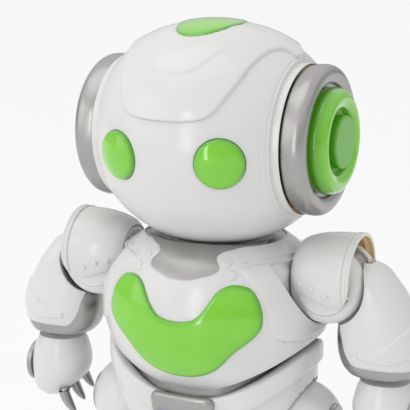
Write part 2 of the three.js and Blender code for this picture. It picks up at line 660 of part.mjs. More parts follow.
const thighClearance = () =>
  solidOf(new THREE.CylinderGeometry(17.6, 13.8, 18, LIMB_SEGMENTS).rotateX(Math.PI / 2).translate(36.5, 0, 75.4));

const wheelRoom = (grow) =>
  box(FOOT_X - 15.5 - grow, FOOT_X + 15.5 + grow, WHEEL.y - 9.5 - grow, WHEEL.y + 9.5 + grow, -5, 18 + grow);

function bootShell() {
  const inside = common(bootSolid(-WALL, -WALL), box(0, FAR, -FAR, FAR, 0, 62));
  return cut(bootSolid(0), inside, box(0, FAR, -FAR, FAR, 0, 6.5));
}

function footSole() {
  const { a, b, x, y } = bootSections.at(-1);
  const plate = ringSurface(
    [SOLE_BOTTOM, SOLE_TOP].map((z) => ring(at(x, y, z), a - 0.6, b - 0.6, 2.4, () => z, LIMB_SEGMENTS + 2)),
  );
  const studs = [-12, 12].map((dx) => rod(at(FOOT_X + dx, -32, 1.5), alongZ, 3.5, 3));
  return cut(join(plate, ...studs), wheelRoom(0));
}

function wheelSet() {
  const axle = rod(at(FOOT_X, WHEEL.y, WHEEL.radius), alongX, 1.5, 28);
  const wheels = [-1, 1].map((s) =>
    rod(at(FOOT_X + s * WHEEL.halfTrack, WHEEL.y, WHEEL.radius), alongX, WHEEL.radius, WHEEL.width, 16),
  );
  return join(axle, ...wheels);
}

// ---------------------------------------------------------------- assembly
const robot = new THREE.Group();

function place(name, solid, material, mirrored = false) {
  const mesh = new THREE.Mesh(geometryOf(solid), material());
  mesh.name = name;
  if (mirrored) mesh.scale.x = -1;
  robot.add(mesh);
}

// A piece that the robot has on both sides.
function pair(name, solid, material) {
  place("left_" + name, solid, material);
  place("right_" + name, solid, material, true);
}

const head = headShells();
place("head_front_shell", head.front, white);
place("head_rear_shell", head.rear, white);
place("crown_cap", crownCap(), white);
place("crown_lens", crownLens(), green);
place("eye_light_board", eyeLightBoard(), board);
place("neck_stem", neckStem(), grey);
pair("eye_lens", eyeLens(), green);
pair("ear_ring", earRing(), silver);
pair("ear_disc", earDisc(), green);
pair("ear_knob", earKnob(), green);

const torso = torsoShells();
place("chest_shell", torso.front, white);
place("back_shell", torso.rear, white);
place("chest_lens", chestLens(), green);
place("neck_collar", neckCollar(), silver);
place("waist_band", waistBand(), silver);
place("battery_door", batteryDoor(), white);
place("battery_door_screw", batteryDoorScrew(), steel);
place("power_switch", powerSwitch(), grey);
place("speaker", speaker(), black);
place("main_board", mainBoard(), board);
place("battery_pack", batteryPack(), black);
place("arm_gearbox", armGearbox(), grey);

pair("shoulder_pad", shoulderPad(), white);
pair("upper_arm", upperArm(), white);
pair("elbow_pin", elbowPin(), steel);
pair("forearm_shell", forearmShell(), white);
pair("forearm_core", forearmCore(), silver);
pair("hand_shell", handShell(), white);
pair("hand_disc", handDisc(), silver);
pair("fingers", fingers(), silver);

place("pelvis_shell", pelvisShell(), white);
place("waist_skirt", waistSkirt(), white);
place("belt_plate", beltPlate(), silver);
place("waist_post", waistPost(), grey);
place("hip_axle", hipAxle(), steel);
place("leg_gearbox", legGearbox(), grey);

pair("thigh", thigh(), white);
pair("hip_disc", hipDisc(), silver);
pair("knee_cap", kneeCap(), silver);
pair("boot_shell", bootShell(), white);
pair("foot_sole", footSole(), grey);
pair("wheel_set", wheelSet(), rubber);

export default robot;
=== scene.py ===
# %% [markdown]
# # A white toy robot with green lenses
# The robot is a battery toy of moulded shells: white ABS plastic, clear green lenses and trim sprayed
# with silver paint. A packed mechanical model already holds its joints and sizes. This lesson draws the
# visible surfaces over that model, piece by piece, with numpy, and gives each one a finish.

# %% Load the mechanical model
import json
import bpy
import bmesh
import numpy as np
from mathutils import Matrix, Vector


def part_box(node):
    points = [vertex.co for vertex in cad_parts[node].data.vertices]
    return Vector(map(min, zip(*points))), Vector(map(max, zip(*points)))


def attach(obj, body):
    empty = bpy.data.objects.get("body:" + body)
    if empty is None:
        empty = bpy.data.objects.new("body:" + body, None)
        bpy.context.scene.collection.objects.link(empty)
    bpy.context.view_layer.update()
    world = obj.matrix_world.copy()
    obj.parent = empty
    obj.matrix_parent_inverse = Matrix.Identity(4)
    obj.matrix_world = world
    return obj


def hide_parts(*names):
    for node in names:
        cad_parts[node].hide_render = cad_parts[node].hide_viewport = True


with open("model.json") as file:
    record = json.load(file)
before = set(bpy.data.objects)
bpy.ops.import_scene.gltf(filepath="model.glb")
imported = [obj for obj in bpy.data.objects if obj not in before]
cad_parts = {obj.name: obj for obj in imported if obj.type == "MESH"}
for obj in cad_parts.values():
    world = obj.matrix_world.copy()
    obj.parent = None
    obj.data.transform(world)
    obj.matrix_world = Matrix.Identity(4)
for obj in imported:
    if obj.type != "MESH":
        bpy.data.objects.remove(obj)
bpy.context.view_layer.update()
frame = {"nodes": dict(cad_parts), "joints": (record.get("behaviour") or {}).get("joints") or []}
MM = 0.001

# %% [markdown]
# The surfaces below are worked out in millimetres. Places come from the mechanical model: the box of a
# node says where a piece sits, and the record says where each joint turns.

# %% Read places from the model
def box_mm(node):
    """The lowest and highest corner of a node, in millimetres."""
    low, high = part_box(node)
    return np.array(low) / MM, np.array(high) / MM


def joint_mm(name):
    """The point that a joint turns about, in millimetres."""
    return np.array([j for j in frame["joints"] if j["name"] == name][0]["pos_m"]) / MM


SHOULDER = joint_mm("left_shoulder_swing")
ELBOW = joint_mm("left_elbow_bend")
WRIST = joint_mm("left_wrist_turn")
HIP = joint_mm("left_hip_swing")
WHEEL = joint_mm("left_wheel_spin")
HEAD_Z = (box_mm("left_ear_ring")[0] + box_mm("left_ear_ring")[1])[2] / 2
print("shoulder", SHOULDER, "elbow", ELBOW, "wrist", WRIST, "hip", HIP, "head height", round(HEAD_Z, 1))

# %% [markdown]
# A curved shell could be sculpted, subdivided from a cage or computed. Every form here has a simple
# formula, so it is computed: a shape is a grid of points, rows by columns, worked out as one array.
# Neighbouring points make four-sided faces, and each grid is turned so that its faces look away from a
# point inside the piece.

# %% Turn grids of points into one mesh
def grid_faces(points, close_rows, close_columns, inside):
    """Faces of a grid: each point joins the next in its row and its column. If the faces look towards
    the inside point on average, every face is reversed."""
    rows, columns = points.shape[:2]
    i = np.arange(rows if close_rows else rows - 1)[:, None]
    j = np.arange(columns if close_columns else columns - 1)[None, :]
    below, right = (i + 1) % rows, (j + 1) % columns
    faces = np.stack(np.broadcast_arrays(
        i * columns + j, i * columns + right, below * columns + right, below * columns + j), -1)
    faces = faces.reshape(-1, 4)
    corners = points.reshape(-1, 3)[faces]
    normal = np.cross(corners[:, 2] - corners[:, 0], corners[:, 3] - corners[:, 1])
    outward = corners.mean(1) - inside
    return faces if (normal * outward).sum() > 0 else faces[:, ::-1]


def grid(points, inside, close_rows=False, close_columns=False, edge=None):
    """One grid of a piece: its points, its faces, and how near each point is to the piece's edge."""
    points = np.asarray(points, float)
    edge = np.zeros(points.shape[:2]) if edge is None else np.broadcast_to(edge, points.shape[:2])
    faces = grid_faces(points, close_rows, close_columns, np.asarray(inside, float))
    return {"points": points.reshape(-1, 3), "faces": faces, "edge": edge.reshape(-1)}


def mirrored(one):
    """The same grid on the robot's other side: x changes sign, and the faces run the other way."""
    return {**one, "points": one["points"] * [-1, 1, 1], "faces": one["faces"][:, ::-1]}


def make_piece(name, grids, body, materials, slot, replaces=(), wall=0, bevel=0, weld=0.001):
    """A Blender object from grids in millimetres. Points that coincide are welded, which closes poles
    and seams. With a wall, the surface is thickened inwards, and its rim is rounded by the bevel."""
    grids = [head_turned(g) for g in grids] if body == "head" else grids
    starts = np.cumsum([0] + [len(g["points"]) for g in grids[:-1]])
    points = np.concatenate([g["points"] for g in grids]) * MM
    faces = np.concatenate([g["faces"] + start for g, start in zip(grids, starts)])
    mesh = bpy.data.meshes.new(name)
    mesh.from_pydata(points, [], faces.tolist())
    near = mesh.attributes.new("edge", "FLOAT", "POINT")
    near.data.foreach_set("value", np.concatenate([g["edge"] for g in grids]).astype(np.float32))
    work = bmesh.new()
    work.from_mesh(mesh)
    bmesh.ops.remove_doubles(work, verts=work.verts, dist=weld * MM)
    bmesh.ops.dissolve_degenerate(work, edges=work.edges, dist=weld * MM / 2)
    work.to_mesh(mesh)
    work.free()
    mesh.polygons.foreach_set("use_smooth", np.ones(len(mesh.polygons), bool))
    piece = bpy.data.objects.new(name, mesh)
    bpy.context.scene.collection.objects.link(piece)
    for material in materials:
        mesh.materials.append(material)
    if wall:
        solid = piece.modifiers.new("wall", "SOLIDIFY")
        solid.thickness, solid.offset = wall * MM, -1
        # The inner wall and the rim take the last material; on the white shells that is the painted warm
        # glow.
        solid.material_offset = len(materials) - 1
    if bevel:
        rim = piece.modifiers.new("rim", "BEVEL")
        rim.width, rim.segments = bevel * MM, 3
        rim.limit_method, rim.angle_limit = "ANGLE", np.radians(50)
    shading = piece.modifiers.new("even_shading", "WEIGHTED_NORMAL")
    shading.keep_sharp = True
    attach(piece, body)
    if replaces:
        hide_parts(*replaces)
    return piece


HEAD_TURN = np.radians(-3)  # the head is looking 3 degrees to its right


def head_turned(one):
    """The same grid turned about Z with the head: x' = x cos - y sin, y' = x sin + y cos."""
    c, s = np.cos(HEAD_TURN), np.sin(HEAD_TURN)
    return {**one, "points": one["points"] @ np.array([[c, s, 0], [-s, c, 0], [0, 0, 1]])}


def make_pair(name, grids, body, materials, slot, replaces=(), one_body=False, **finish):
    """A piece that the robot has on its left and, mirrored, on its right. Each side rides on its own
    body, or both on one body, as the eyes do on the head."""
    for side, flip in (("left_", False), ("right_", True)):
        these = [mirrored(g) for g in grids] if flip else grids
        nodes = [side + node for node in replaces]
        make_piece(side + name, these, body if one_body else side + body, materials, slot, nodes, **finish)


# %% [markdown]
# A few curves come back in every piece: a smooth line through a handful of points, a corner rounded by
# an arc, a quarter-round edge and a soft step.

# %% Curves and steps
def through(points, count):
    """A Catmull-Rom curve through the points, as a number of points evenly spaced along it."""
    points = np.asarray(points, float)
    padded = np.concatenate([2 * points[:1] - points[1:2], points, 2 * points[-1:] - points[-2:-1]])
    place = np.linspace(0, len(points) - 1, 40 * len(points))
    i = np.minimum(place.astype(int), len(points) - 2)
    t = (place - i)[:, None]
    a, b, c, d = (padded[i + k] for k in range(4))
    line = (2 * b + (c - a) * t + (2 * a - 5 * b + 4 * c - d) * t**2 + (3 * b - a - 3 * c + d) * t**3) / 2
    return even(line, count)


def even(line, count, share=None):
    """A line of points, resampled evenly along its length, or at given shares of its length."""
    length = np.concatenate([[0], np.cumsum(np.linalg.norm(np.diff(line, axis=0), axis=1))])
    share = np.linspace(0, 1, count) if share is None else share
    return np.stack([np.interp(share * length[-1], length, line[:, k]) for k in range(line.shape[1])], 1)


def rounded(corners, step):
    """A line through corners given as (x, y, radius). Each corner is cut back by its radius on both
    sides and replaced by a parabolic arc between the two cuts. Straight stretches get a point a step."""
    corners = [tuple(c) + (0,) * (3 - len(c)) for c in corners]
    line = [np.array(corners[0][:2], float)[None]]
    for before, (x, y, radius), after in zip(corners, corners[1:], corners[2:] + [None]):
        here = np.array([x, y], float)
        if after is None or not radius:
            line.append(here[None])
            continue
        ways = [np.array(c[:2], float) - here for c in (before, after)]
        start, end = (here + way / np.linalg.norm(way) * radius for way in ways)
        t = np.linspace(0, 1, 7)[:, None]
        line.append((1 - t) ** 2 * start + 2 * t * (1 - t) * here + t**2 * end)
    line = np.concatenate(line)
    gaps = np.maximum(1, np.ceil(np.linalg.norm(np.diff(line, axis=0), axis=1) / step)).astype(int)
    pieces = [a + (b - a) * (np.arange(n) / n)[:, None] for a, b, n in zip(line, line[1:], gaps)]
    return np.concatenate(pieces + [line[-1:]])


def smoothstep(value, low, high):
    """0 below low, 1 above high, and 3t^2 - 2t^3 between them."""
    t = np.clip((value - low) / (high - low), 0, 1)
    return t * t * (3 - 2 * t)


def roll(distance, radius):
    """Height of a quarter-round edge at a distance from it: the square root of 1 - (1 - d/r)^2."""
    return np.sqrt(1 - (1 - np.clip(distance / radius, 0, 1)) ** 2)


def crowded(count, ends=2.0):
    """Numbers from -1 to 1 that crowd towards both ends, where edges are rounded."""
    t = np.linspace(-1, 1, count)
    return np.sign(t) * (1 - (1 - np.abs(t)) ** ends)


def distance_to(points, outline):
    """Distance from each point to the nearest point of a densely drawn outline."""
    flat = points.reshape(-1, points.shape[-1])
    nearest = [np.sqrt(((part[:, None] - outline[None]) ** 2).sum(-1).min(1))
               for part in np.array_split(flat, max(1, len(flat) * len(outline) // 4_000_000))]
    return np.concatenate(nearest).reshape(points.shape[:-1])


def near_edge(distance, reach=1.6):
    """How near a point is to an edge, from 1 on it to 0 well inside: e to the power -distance/reach."""
    return np.exp(-np.maximum(distance, 0) / reach)


def finer(values, places, width, step):
    """Sorted values with extra ones crowded round some places, where a fine line is cut."""
    extra = [np.arange(p - width, p + width + step / 2, step) for p in places]
    return np.unique(np.round(np.concatenate([values] + extra), 4))


def line_cut(values, place, width):
    """Depth from 0 to 1 of a fine cut line across a value: a bell curve round its place."""
    return np.exp(-(((values - place) / width) ** 2))


# %% [markdown]
# Most other parts are turned, like the ear rings, or lofted, like the hands. A turned part sweeps a
# profile round an axis. A lofted part passes squarish rings, called superellipses, through sections.

# %% Turned and lofted forms
AXES = {"x": (1, 2, 0), "y": (2, 0, 1), "z": (0, 1, 2)}


def turned(profile, centre, axis, angles=None):
    """Points of a profile of (place along the axis, radius) turned about the axis through a centre:
    first cross coordinate = radius * sin(angle), second = radius * cos(angle)."""
    angles = np.radians(np.linspace(0, 360, 97)[:-1] if angles is None else angles)[:, None]
    first, second, along = AXES[axis]
    points = np.empty((len(angles), len(profile), 3))
    points[..., first] = centre[first] + profile[None, :, 1] * np.sin(angles)
    points[..., second] = centre[second] + profile[None, :, 1] * np.cos(angles)
    points[..., along] = profile[None, :, 0]
    return points


def turned_grid(corners, centre, axis, step=0.8):
    """A closed turned solid from corners of (place along the axis, radius, corner radius)."""
    points = turned(rounded(corners, step), centre, axis)
    return grid(points, points.reshape(-1, 3).mean(0), close_rows=True)


def bow(value, power):
    """A sine or cosine drawn out to a superellipse: its size to the power 2/p, with its sign."""
    return np.sign(value) * np.abs(value) ** (2 / power)


def lofted(sections, power, count, columns, caps):
    """Rings through sections of (z, x, y, half width, half depth). The two caps are the heights of the
    quarter-round ends that close the form, first where the sections start and then where they end."""
    rows = through(sections, count)
    share = np.linspace(0, 1, 9)[1:]
    for end, height in enumerate(caps):
        row = rows[-1 if end else 0]
        cap = np.repeat(row[None], len(share), 0)
        cap[:, 0] += (1 if end else -1) * height * np.sin(share * np.pi / 2)
        cap[:, 3:] *= np.cos(share * np.pi / 2)[:, None]
        rows = np.concatenate([rows, cap] if end else [cap[::-1], rows])
    z, x, y, a, b = (rows[:, k, None] for k in range(5))
    angle = np.linspace(0, 2 * np.pi, columns + 1)[None, :-1]
    return np.stack([x + a * bow(np.sin(angle), power), y - b * bow(np.cos(angle), power),
                     np.broadcast_to(z, (len(rows), columns))], -1)


def rounded_rectangle(width, height, radius, columns, rows):
    """A grid over a rounded rectangle of half sizes width and height, and each point's distance to its
    edge. In a corner, the square of side radius is pressed into a quarter disc: a becomes
    a * sqrt(1 - b^2/2), and b becomes b * sqrt(1 - a^2/2)."""
    p, q = np.meshgrid(crowded(columns) * width, crowded(rows) * height, indexing="ij")
    a = np.clip((np.abs(p) - width + radius) / radius, 0, 1)
    b = np.clip((np.abs(q) - height + radius) / radius, 0, 1)
    p = np.where(a > 0, np.sign(p) * (width - radius + radius * a * np.sqrt(1 - b**2 / 2)), p)
    q = np.where(b > 0, np.sign(q) * (height - radius + radius * b * np.sqrt(1 - a**2 / 2)), q)
    over = np.stack([np.abs(p) - width + radius, np.abs(q) - height + radius], -1)
    inside = radius - np.linalg.norm(np.maximum(over, 0), axis=-1) - np.minimum(over.max(-1), 0)
    return p, q, inside


def sink_border(height, depth):
    """Puts the outermost points of a grid of heights at the depth, where they are out of sight."""
    height[[0, -1]] = depth
    height[:, [0, -1]] = depth


# %% [markdown]
# ## Materials
# Every finish is made of nodes, so it has no picture to stretch or to run out. Colours are written as
# the hex values that a screen shows and turned to the linear values that light is added in. One helper
# adds a node; a socket that is given another node's output is linked, and any other gets the value.
# Short helpers on top of it make the noise, the mix of two colours and the bump that come back often.

# %% Colours and nodes
def to_linear(colour):
    """An sRGB hex colour as linear RGBA: v/12.92 where dark, else ((v + 0.055)/1.055) to the 2.4."""
    srgb = np.array([int(colour[i:i + 2], 16) / 255 for i in (1, 3, 5)])
    return (*np.where(srgb <= 0.04045, srgb / 12.92, ((srgb + 0.055) / 1.055) ** 2.4), 1)


def add_node(tree, kind, inputs=None, **settings):
    """Adds a node with its settings. Each input gets a value, or a link from another node's output."""
    node = tree.nodes.new(kind)
    for name, value in settings.items():
        setattr(node, name, value)
    for name, value in (inputs or {}).items():
        if isinstance(value, bpy.types.NodeSocket):
            tree.links.new(value, node.inputs[name])
        else:
            node.inputs[name].default_value = value
    return node


def new_material(name, **uniform):
    """A material with one Principled shader, whose uniform numbers are set on its own sockets."""
    material = bpy.data.materials.new(name)
    material.use_nodes = True
    tree = material.node_tree
    shader = tree.nodes["Principled BSDF"]
    for socket, value in uniform.items():
        shader.inputs[socket.replace("_", " ")].default_value = value
    place = add_node(tree, "ShaderNodeTexCoord").outputs["Object"]
    return material, tree, shader, place


def noise(tree, place, size_mm, detail):
    """Soft noise with features about size_mm wide."""
    return add_node(tree, "ShaderNodeTexNoise", {
        "Vector": place, "Scale": 1 / (size_mm * MM), "Detail": detail}).outputs["Fac"]


def blend(tree, share, first, second):
    """A colour between two hex colours: the first where the share is 0, the second where it is 1."""
    return add_node(tree, "ShaderNodeMix", {
        "Factor": share, "A": to_linear(first), "B": to_linear(second)}, data_type="RGBA").outputs["Result"]


def spread(tree, value, low, high, start=0.3, end=0.7):
    """A value from start to end mapped to low to high. Most noise lies between 0.3 and 0.7."""
    return add_node(tree, "ShaderNodeMapRange", {
        "Value": value, "From Min": start, "From Max": end, "To Min": low, "To Max": high}).outputs["Result"]


def combined(tree, operation, first, second, third=0.0):
    """Two or three values put together by an operation, as first * second + third."""
    values = {0: first, 1: second, 2: third}
    return add_node(tree, "ShaderNodeMath", values, operation=operation).outputs["Value"]


def dress(tree, shader, colour, roughness, height, depth_mm):
    """Gives the shader its colour and its roughness, and bends the light by a height of that depth."""
    bump = add_node(tree, "ShaderNodeBump", {"Height": height, "Distance": depth_mm * MM})
    tree.links.new(colour, shader.inputs["Base Color"])
    tree.links.new(roughness, shader.inputs["Roughness"])
    tree.links.new(bump.outputs["Normal"], shader.inputs["Normal"])


# %% [markdown]
# White ABS is moulded in a polished steel tool. The surface is glossy but never a perfect mirror: as
# the plastic cools it keeps a faint waviness, called orange peel, a few millimetres across. The
# whiteness drifts a little where the wall is thick or thin. A waviness of 4 mm, a finer one of 0.6 mm
# and a slow drift in tint and gloss give that.

# %% White ABS, glossy
def moulded(name, light, dark, roughness, vary, grain_mm, depth_mm, **uniform):
    """Moulded plastic: the colour drifts between two tints over 22 mm, the roughness varies up and down
    over 6 mm, and two sizes of waviness, the grain and one seven times as wide, bend the light."""
    material, tree, shader, place = new_material(name, **uniform)
    tint = blend(tree, noise(tree, place, 22, 2.0), dark, light)
    rough = spread(tree, noise(tree, place, 6, 4.0), roughness - vary, roughness + vary)
    wide, fine = noise(tree, place, 7 * grain_mm, 1.0), noise(tree, place, grain_mm, 3.0)
    dress(tree, shader, tint, rough, combined(tree, "MULTIPLY_ADD", wide, 4.0, fine), depth_mm)
    return material


white_abs = moulded("white_abs_glossy", "#DCDCDB", "#D6D6D4", 0.22, 0.04, 0.6, 0.0012, IOR=1.54)
print("made", white_abs.name)

# %% [markdown]
# Inside a white shell the light has bounced many times and passed through the wall, so the plastic there
# looks warm. That light is painted into the colour:
# the inner wall of each shell gets a warmer, duller white, a painted warm glow and painted shade in the gaps.

# %% Inner wall of the white shells, with a painted warm glow
painted_warm_glow_abs = moulded("abs_inner_wall_painted_warm_glow", "#E6CB9A", "#DDB97E", 0.5, 0.05, 0.6, 0.002, IOR=1.54)
print("made", painted_warm_glow_abs.name)

# %% [markdown]
# The lenses are tinted clear plastic, probably acrylic or clear ABS, polished on the outside. They are backed
# by white, so the green looks bright in the middle. Towards its rim each lens is painted a deeper green:
# painted shade for the darker edge of the lens. The edge attribute of each piece, from 1 at its rim to 0
# inside, mixes in that painted shade. A clear coat gives the hard gloss over the softer one below it; the
# knobs have none.

# %% Tinted lens plastic
def tinted_lens(name, middle, rim, share, coat):
    """Lens plastic: two greens mixed by the edge attribute times a share, the deeper one painted shade at the
    rim, a slight cloudiness over
    9 mm and a shallow waviness over 3 mm under a clear coat."""
    material, tree, shader, place = new_material(
        name, IOR=1.49, Coat_Weight=coat, Coat_Roughness=0.04, Coat_IOR=1.5)
    near = add_node(tree, "ShaderNodeAttribute", attribute_name="edge").outputs["Fac"]
    cloud = noise(tree, place, 9, 2.0)
    # Painted shade: the deeper green grows towards each lens's rim.
    painted_rim_shade = combined(tree, "MULTIPLY_ADD", near, share, spread(tree, cloud, 0.0, 0.12))
    tint = blend(tree, painted_rim_shade, middle, rim)
    dress(tree, shader, tint, spread(tree, cloud, 0.12, 0.2), noise(tree, place, 3, 1.0), 0.006)
    return material


# The second green of each lens is its painted rim shade.
green_lens = tinted_lens("green_lens_plastic", "#7CCD2C", "#4E9F0C", 0.85, 0.8)
green_knob = tinted_lens("green_knob_plastic", "#5FAE2C", "#489A18", 0.6, 0.0)
print("made", green_lens.name, green_knob.name)

# %% [markdown]
# The silver trim is ABS sprayed with aluminium paint: thin metal flakes lying nearly flat in clear
# binder. Real flakes are about 0.03 mm across, too fine to show, so they are drawn at about 0.2 mm: each
# cell of a Voronoi pattern is one flake, with its own brightness and its own small tilt.

# %% Silver flake paint
def flake_paint(name, bright, dull, roughness, flake_mm, tilt):
    """Aluminium paint: one random number for each Voronoi cell a flake wide mixes the two greys and
    tilts the surface, and a slow noise over 12 mm varies the thickness of the spray."""
    material, tree, shader, place = new_material(name, Metallic=0.9, IOR=1.5)
    flakes = add_node(tree, "ShaderNodeTexVoronoi", {"Vector": place, "Scale": 1 / (flake_mm * MM)})
    one = add_node(tree, "ShaderNodeSeparateColor", {"Color": flakes.outputs["Color"]}).outputs
    spray = noise(tree, place, 12, 3.0)
    mixed = combined(tree, "MULTIPLY_ADD", one["Red"], 0.6, spray)
    tint = blend(tree, spread(tree, mixed, 0.0, 1.0, 0.35, 1.25), dull, bright)
    rough = spread(tree, spray, roughness - 0.04, roughness + 0.05)
    dress(tree, shader, tint, rough, one["Green"], tilt)
    return material


silver_paint = flake_paint("silver_flake_paint", "#B0AEAC", "#A4A2A0", 0.3, 0.18, 0.0004)
# A darker copy of the silver paint: painted shade for the waist band in its recess.
painted_shade_silver = flake_paint("silver_flake_paint_painted_shade", "#8E8C8B", "#807E7D", 0.34, 0.18, 0.0004)
belt_paint = flake_paint("blue_grey_flake_paint", "#A2A7B0", "#8E929B", 0.4, 0.25, 0.0012)
print("made", silver_paint.name, painted_shade_silver.name, belt_paint.name)

# %% [markdown]
# The rest is plain: grey plastic for the soles and the switch, black for gearboxes, steel pins drawn
# from wire, soft rubber tyres, and a green circuit board with a solder mask over its tracks.

# %% Plastics, rubber, steel and board
grey_plastic = moulded("grey_plastic_satin", "#9A9A9B", "#8C8C8E", 0.5, 0.06, 0.4, 0.003, IOR=1.5)
black_plastic = moulded("black_plastic_moulded", "#2A2B2E", "#202124", 0.5, 0.06, 0.4, 0.003, IOR=1.5)
tyre_rubber = moulded("black_rubber_tyre", "#343436", "#29292B", 0.75, 0.08, 0.5, 0.008, IOR=1.52)


def drawn_steel():
    """Steel wire drawn through a die: a noise 0.3 mm wide, stretched along X into fine lines, varies
    its tint, its roughness and its height."""
    material, tree, shader, place = new_material("steel_drawn_pin", Metallic=1.0)
    turn = add_node(tree, "ShaderNodeMapping", {"Vector": place, "Scale": (0.03, 1.0, 1.0)})
    lines = noise(tree, turn.outputs["Vector"], 0.3, 2.0)
    tint = blend(tree, lines, "#A9AAAD", "#C4C5C8")
    dress(tree, shader, tint, spread(tree, lines, 0.2, 0.45, 0.0, 1.0), lines, 0.003)
    return material


def solder_mask():
    """Board: brick-shaped tracks 2 mm apart stand 0.03 mm under a glossy green mask."""
    material, tree, shader, place = new_material("circuit_board_mask", IOR=1.5)
    tracks = add_node(tree, "ShaderNodeTexBrick", {
        "Vector": place, "Scale": 1 / (8 * MM), "Mortar Size": 0.04, "Color1": to_linear("#1E6B3A"),
        "Color2": to_linear("#236F40"), "Mortar": to_linear("#2F8A52")}).outputs
    dress(tree, shader, tracks["Color"], spread(tree, tracks["Fac"], 0.3, 0.4, 0.0, 1.0), tracks["Fac"], 0.03)
    return material


pin_steel, circuit_board = drawn_steel(), solder_mask()
print("made", grey_plastic.name, black_plastic.name, tyre_rubber.name, pin_steel.name, circuit_board.name)

# %% [markdown]
# ## The head
# The head is a barrel: an ellipsoid of revolution about the ear axis, cut off at both ears, where a
# narrow lip meets the silver ear ring. A point on it is given by x, along the ear axis, and an angle
# round it in degrees, 0 at the crown and 90 at the face. The same formula, grown by a height, carries
# the raised cap and the lenses.

# %% The head's surface
HEAD_LENGTH, HEAD_RADIUS = 53, 47
HEAD_END, LIP_END, LIP_RADIUS = 38.5, 41.6, 30.7
WALL = 1.8
EAR_LINES = (35.2, 37.7)  # two fine lines run round the head at these distances from its middle


def head_radius(x, grow=0):
    """Radius at x of the ellipsoid: (47 + grow) * sqrt(1 - (x / (53 + grow))^2)."""
    return (HEAD_RADIUS + grow) * np.sqrt(1 - (x / (HEAD_LENGTH + grow)) ** 2)


def round_axis(x, degrees, radius):
    """A point at x on the ear axis, and at an angle and a radius about it."""
    angle = np.radians(degrees)
    return np.stack(np.broadcast_arrays(x, -radius * np.sin(angle), HEAD_Z + radius * np.cos(angle)), -1)


def crown_dip(x, degrees):
    """How much of the crown's flattening a point gets: a bell, 1 at the crown, that fades over 34
    degrees and 30 mm. The crown is 1.3 mm lower than the ellipsoid."""
    turn = (np.asarray(degrees, float) + 180) % 360 - 180
    return np.exp(-((turn / 34) ** 2) - (x / 30) ** 2)


CROWN_DROP = 1.3


def on_head(x, degrees, grow=0):
    """A point of the head's surface, raised by grow."""
    return round_axis(x, degrees, head_radius(x, grow) - CROWN_DROP * crown_dip(x, degrees))


print("head radius at the ears:", round(float(head_radius(HEAD_END)), 1), "mm")

# %% [markdown]
# The front shell has two round holes for the eyes. A hole could be cut with a boolean, which leaves
# ragged shading, so the grid itself makes room: a square block is left out of it, and a patch of rings
# leads from the block's border to the round edge and a little way in. The eye's edge is a circle square
# to the surface, dropped on to the ellipsoid along its normal.

# %% The front and rear head shells
EYE_X, EYE_RADIUS = 22.5, 9.95
EYE_DROP = 5  # the eyes sit this much below the ear axis
EYE_SEAT = 0.1  # clear space between an eye lens and its hole
EYE = on_head(EYE_X, 90 + np.degrees(np.arcsin(EYE_DROP / head_radius(EYE_X))))


def unit(vector):
    """A vector made one long."""
    return vector / np.linalg.norm(vector)


EYE_NORMAL = unit((EYE - [0, 0, HEAD_Z]) / np.array([HEAD_LENGTH, HEAD_RADIUS, HEAD_RADIUS]) ** 2)
EYE_RIGHT = unit(np.cross([0, 0, 1], EYE_NORMAL))
EYE_UP = np.cross(EYE_NORMAL, EYE_RIGHT)


def eye_ring(angles, radius, depth=0):
    """A circle about the eye, dropped along the eye's normal on to the head: the nearer root of the
    quadratic for a line meeting the ellipsoid. Then it is moved back along the normal by the depth."""
    flat = EYE + radius * (np.cos(angles)[..., None] * EYE_RIGHT + np.sin(angles)[..., None] * EYE_UP)
    sizes = np.array([HEAD_LENGTH, HEAD_RADIUS, HEAD_RADIUS])
    start, way = (flat - [0, 0, HEAD_Z]) / sizes, EYE_NORMAL / sizes
    a, b, c = (way**2).sum(), (start * way).sum(-1), (start**2).sum(-1) - 1
    return flat + ((-b + np.sqrt(b**2 - a * c)) / a - depth)[..., None] * EYE_NORMAL


def head_turn(points):
    """The angle round the ear axis of each point, in degrees."""
    return np.degrees(np.arctan2(-points[..., 1], points[..., 2] - HEAD_Z))


def eye_patch(x_low, x_high, turn_low, turn_high, steps):
    """Rings from a square block's border to the eye's hole: (1 - s) * border + s * rim in x and angle,
    then over the rounded edge and down into the hole."""
    t = np.linspace(0, 1, steps + 1)[:-1]
    x_side, turn_side = x_low + (x_high - x_low) * t, turn_low + (turn_high - turn_low) * t
    border = np.stack([
        np.concatenate([x_side, np.full(steps, x_high), x_side[::-1] + x_side[1] - x_side[0],
                        np.full(steps, x_low)]),
        np.concatenate([np.full(steps, turn_low), turn_side, np.full(steps, turn_high),
                        turn_side[::-1] + turn_side[1] - turn_side[0]])], -1)
    spokes = on_head(border[:, 0], border[:, 1]) - EYE
    angles = np.arctan2(spokes @ EYE_UP, spokes @ EYE_RIGHT)
    rim = eye_ring(angles, EYE_RADIUS + EYE_SEAT + 0.4)
    rim = np.stack([rim[:, 0], head_turn(rim)], -1)
    s = np.linspace(0, 1, 7)[:, None, None]
    rings = border * (1 - s) + rim * s
    surface = on_head(rings[..., 0], rings[..., 1])
    inner = [eye_ring(angles, EYE_RADIUS + EYE_SEAT + out, down)
             for out, down in ((0.15, 0.08), (0, 0.3), (0, 2.4))]
    return np.concatenate([surface, np.stack(inner)])


lip_x = np.array([38.56, 38.7, 39.0, LIP_END - 0.2, LIP_END - 0.05, LIP_END])
lip_radius = np.array([31.6, 31.1, 30.8, LIP_RADIUS, LIP_RADIUS - 0.1, LIP_RADIUS - 0.35])


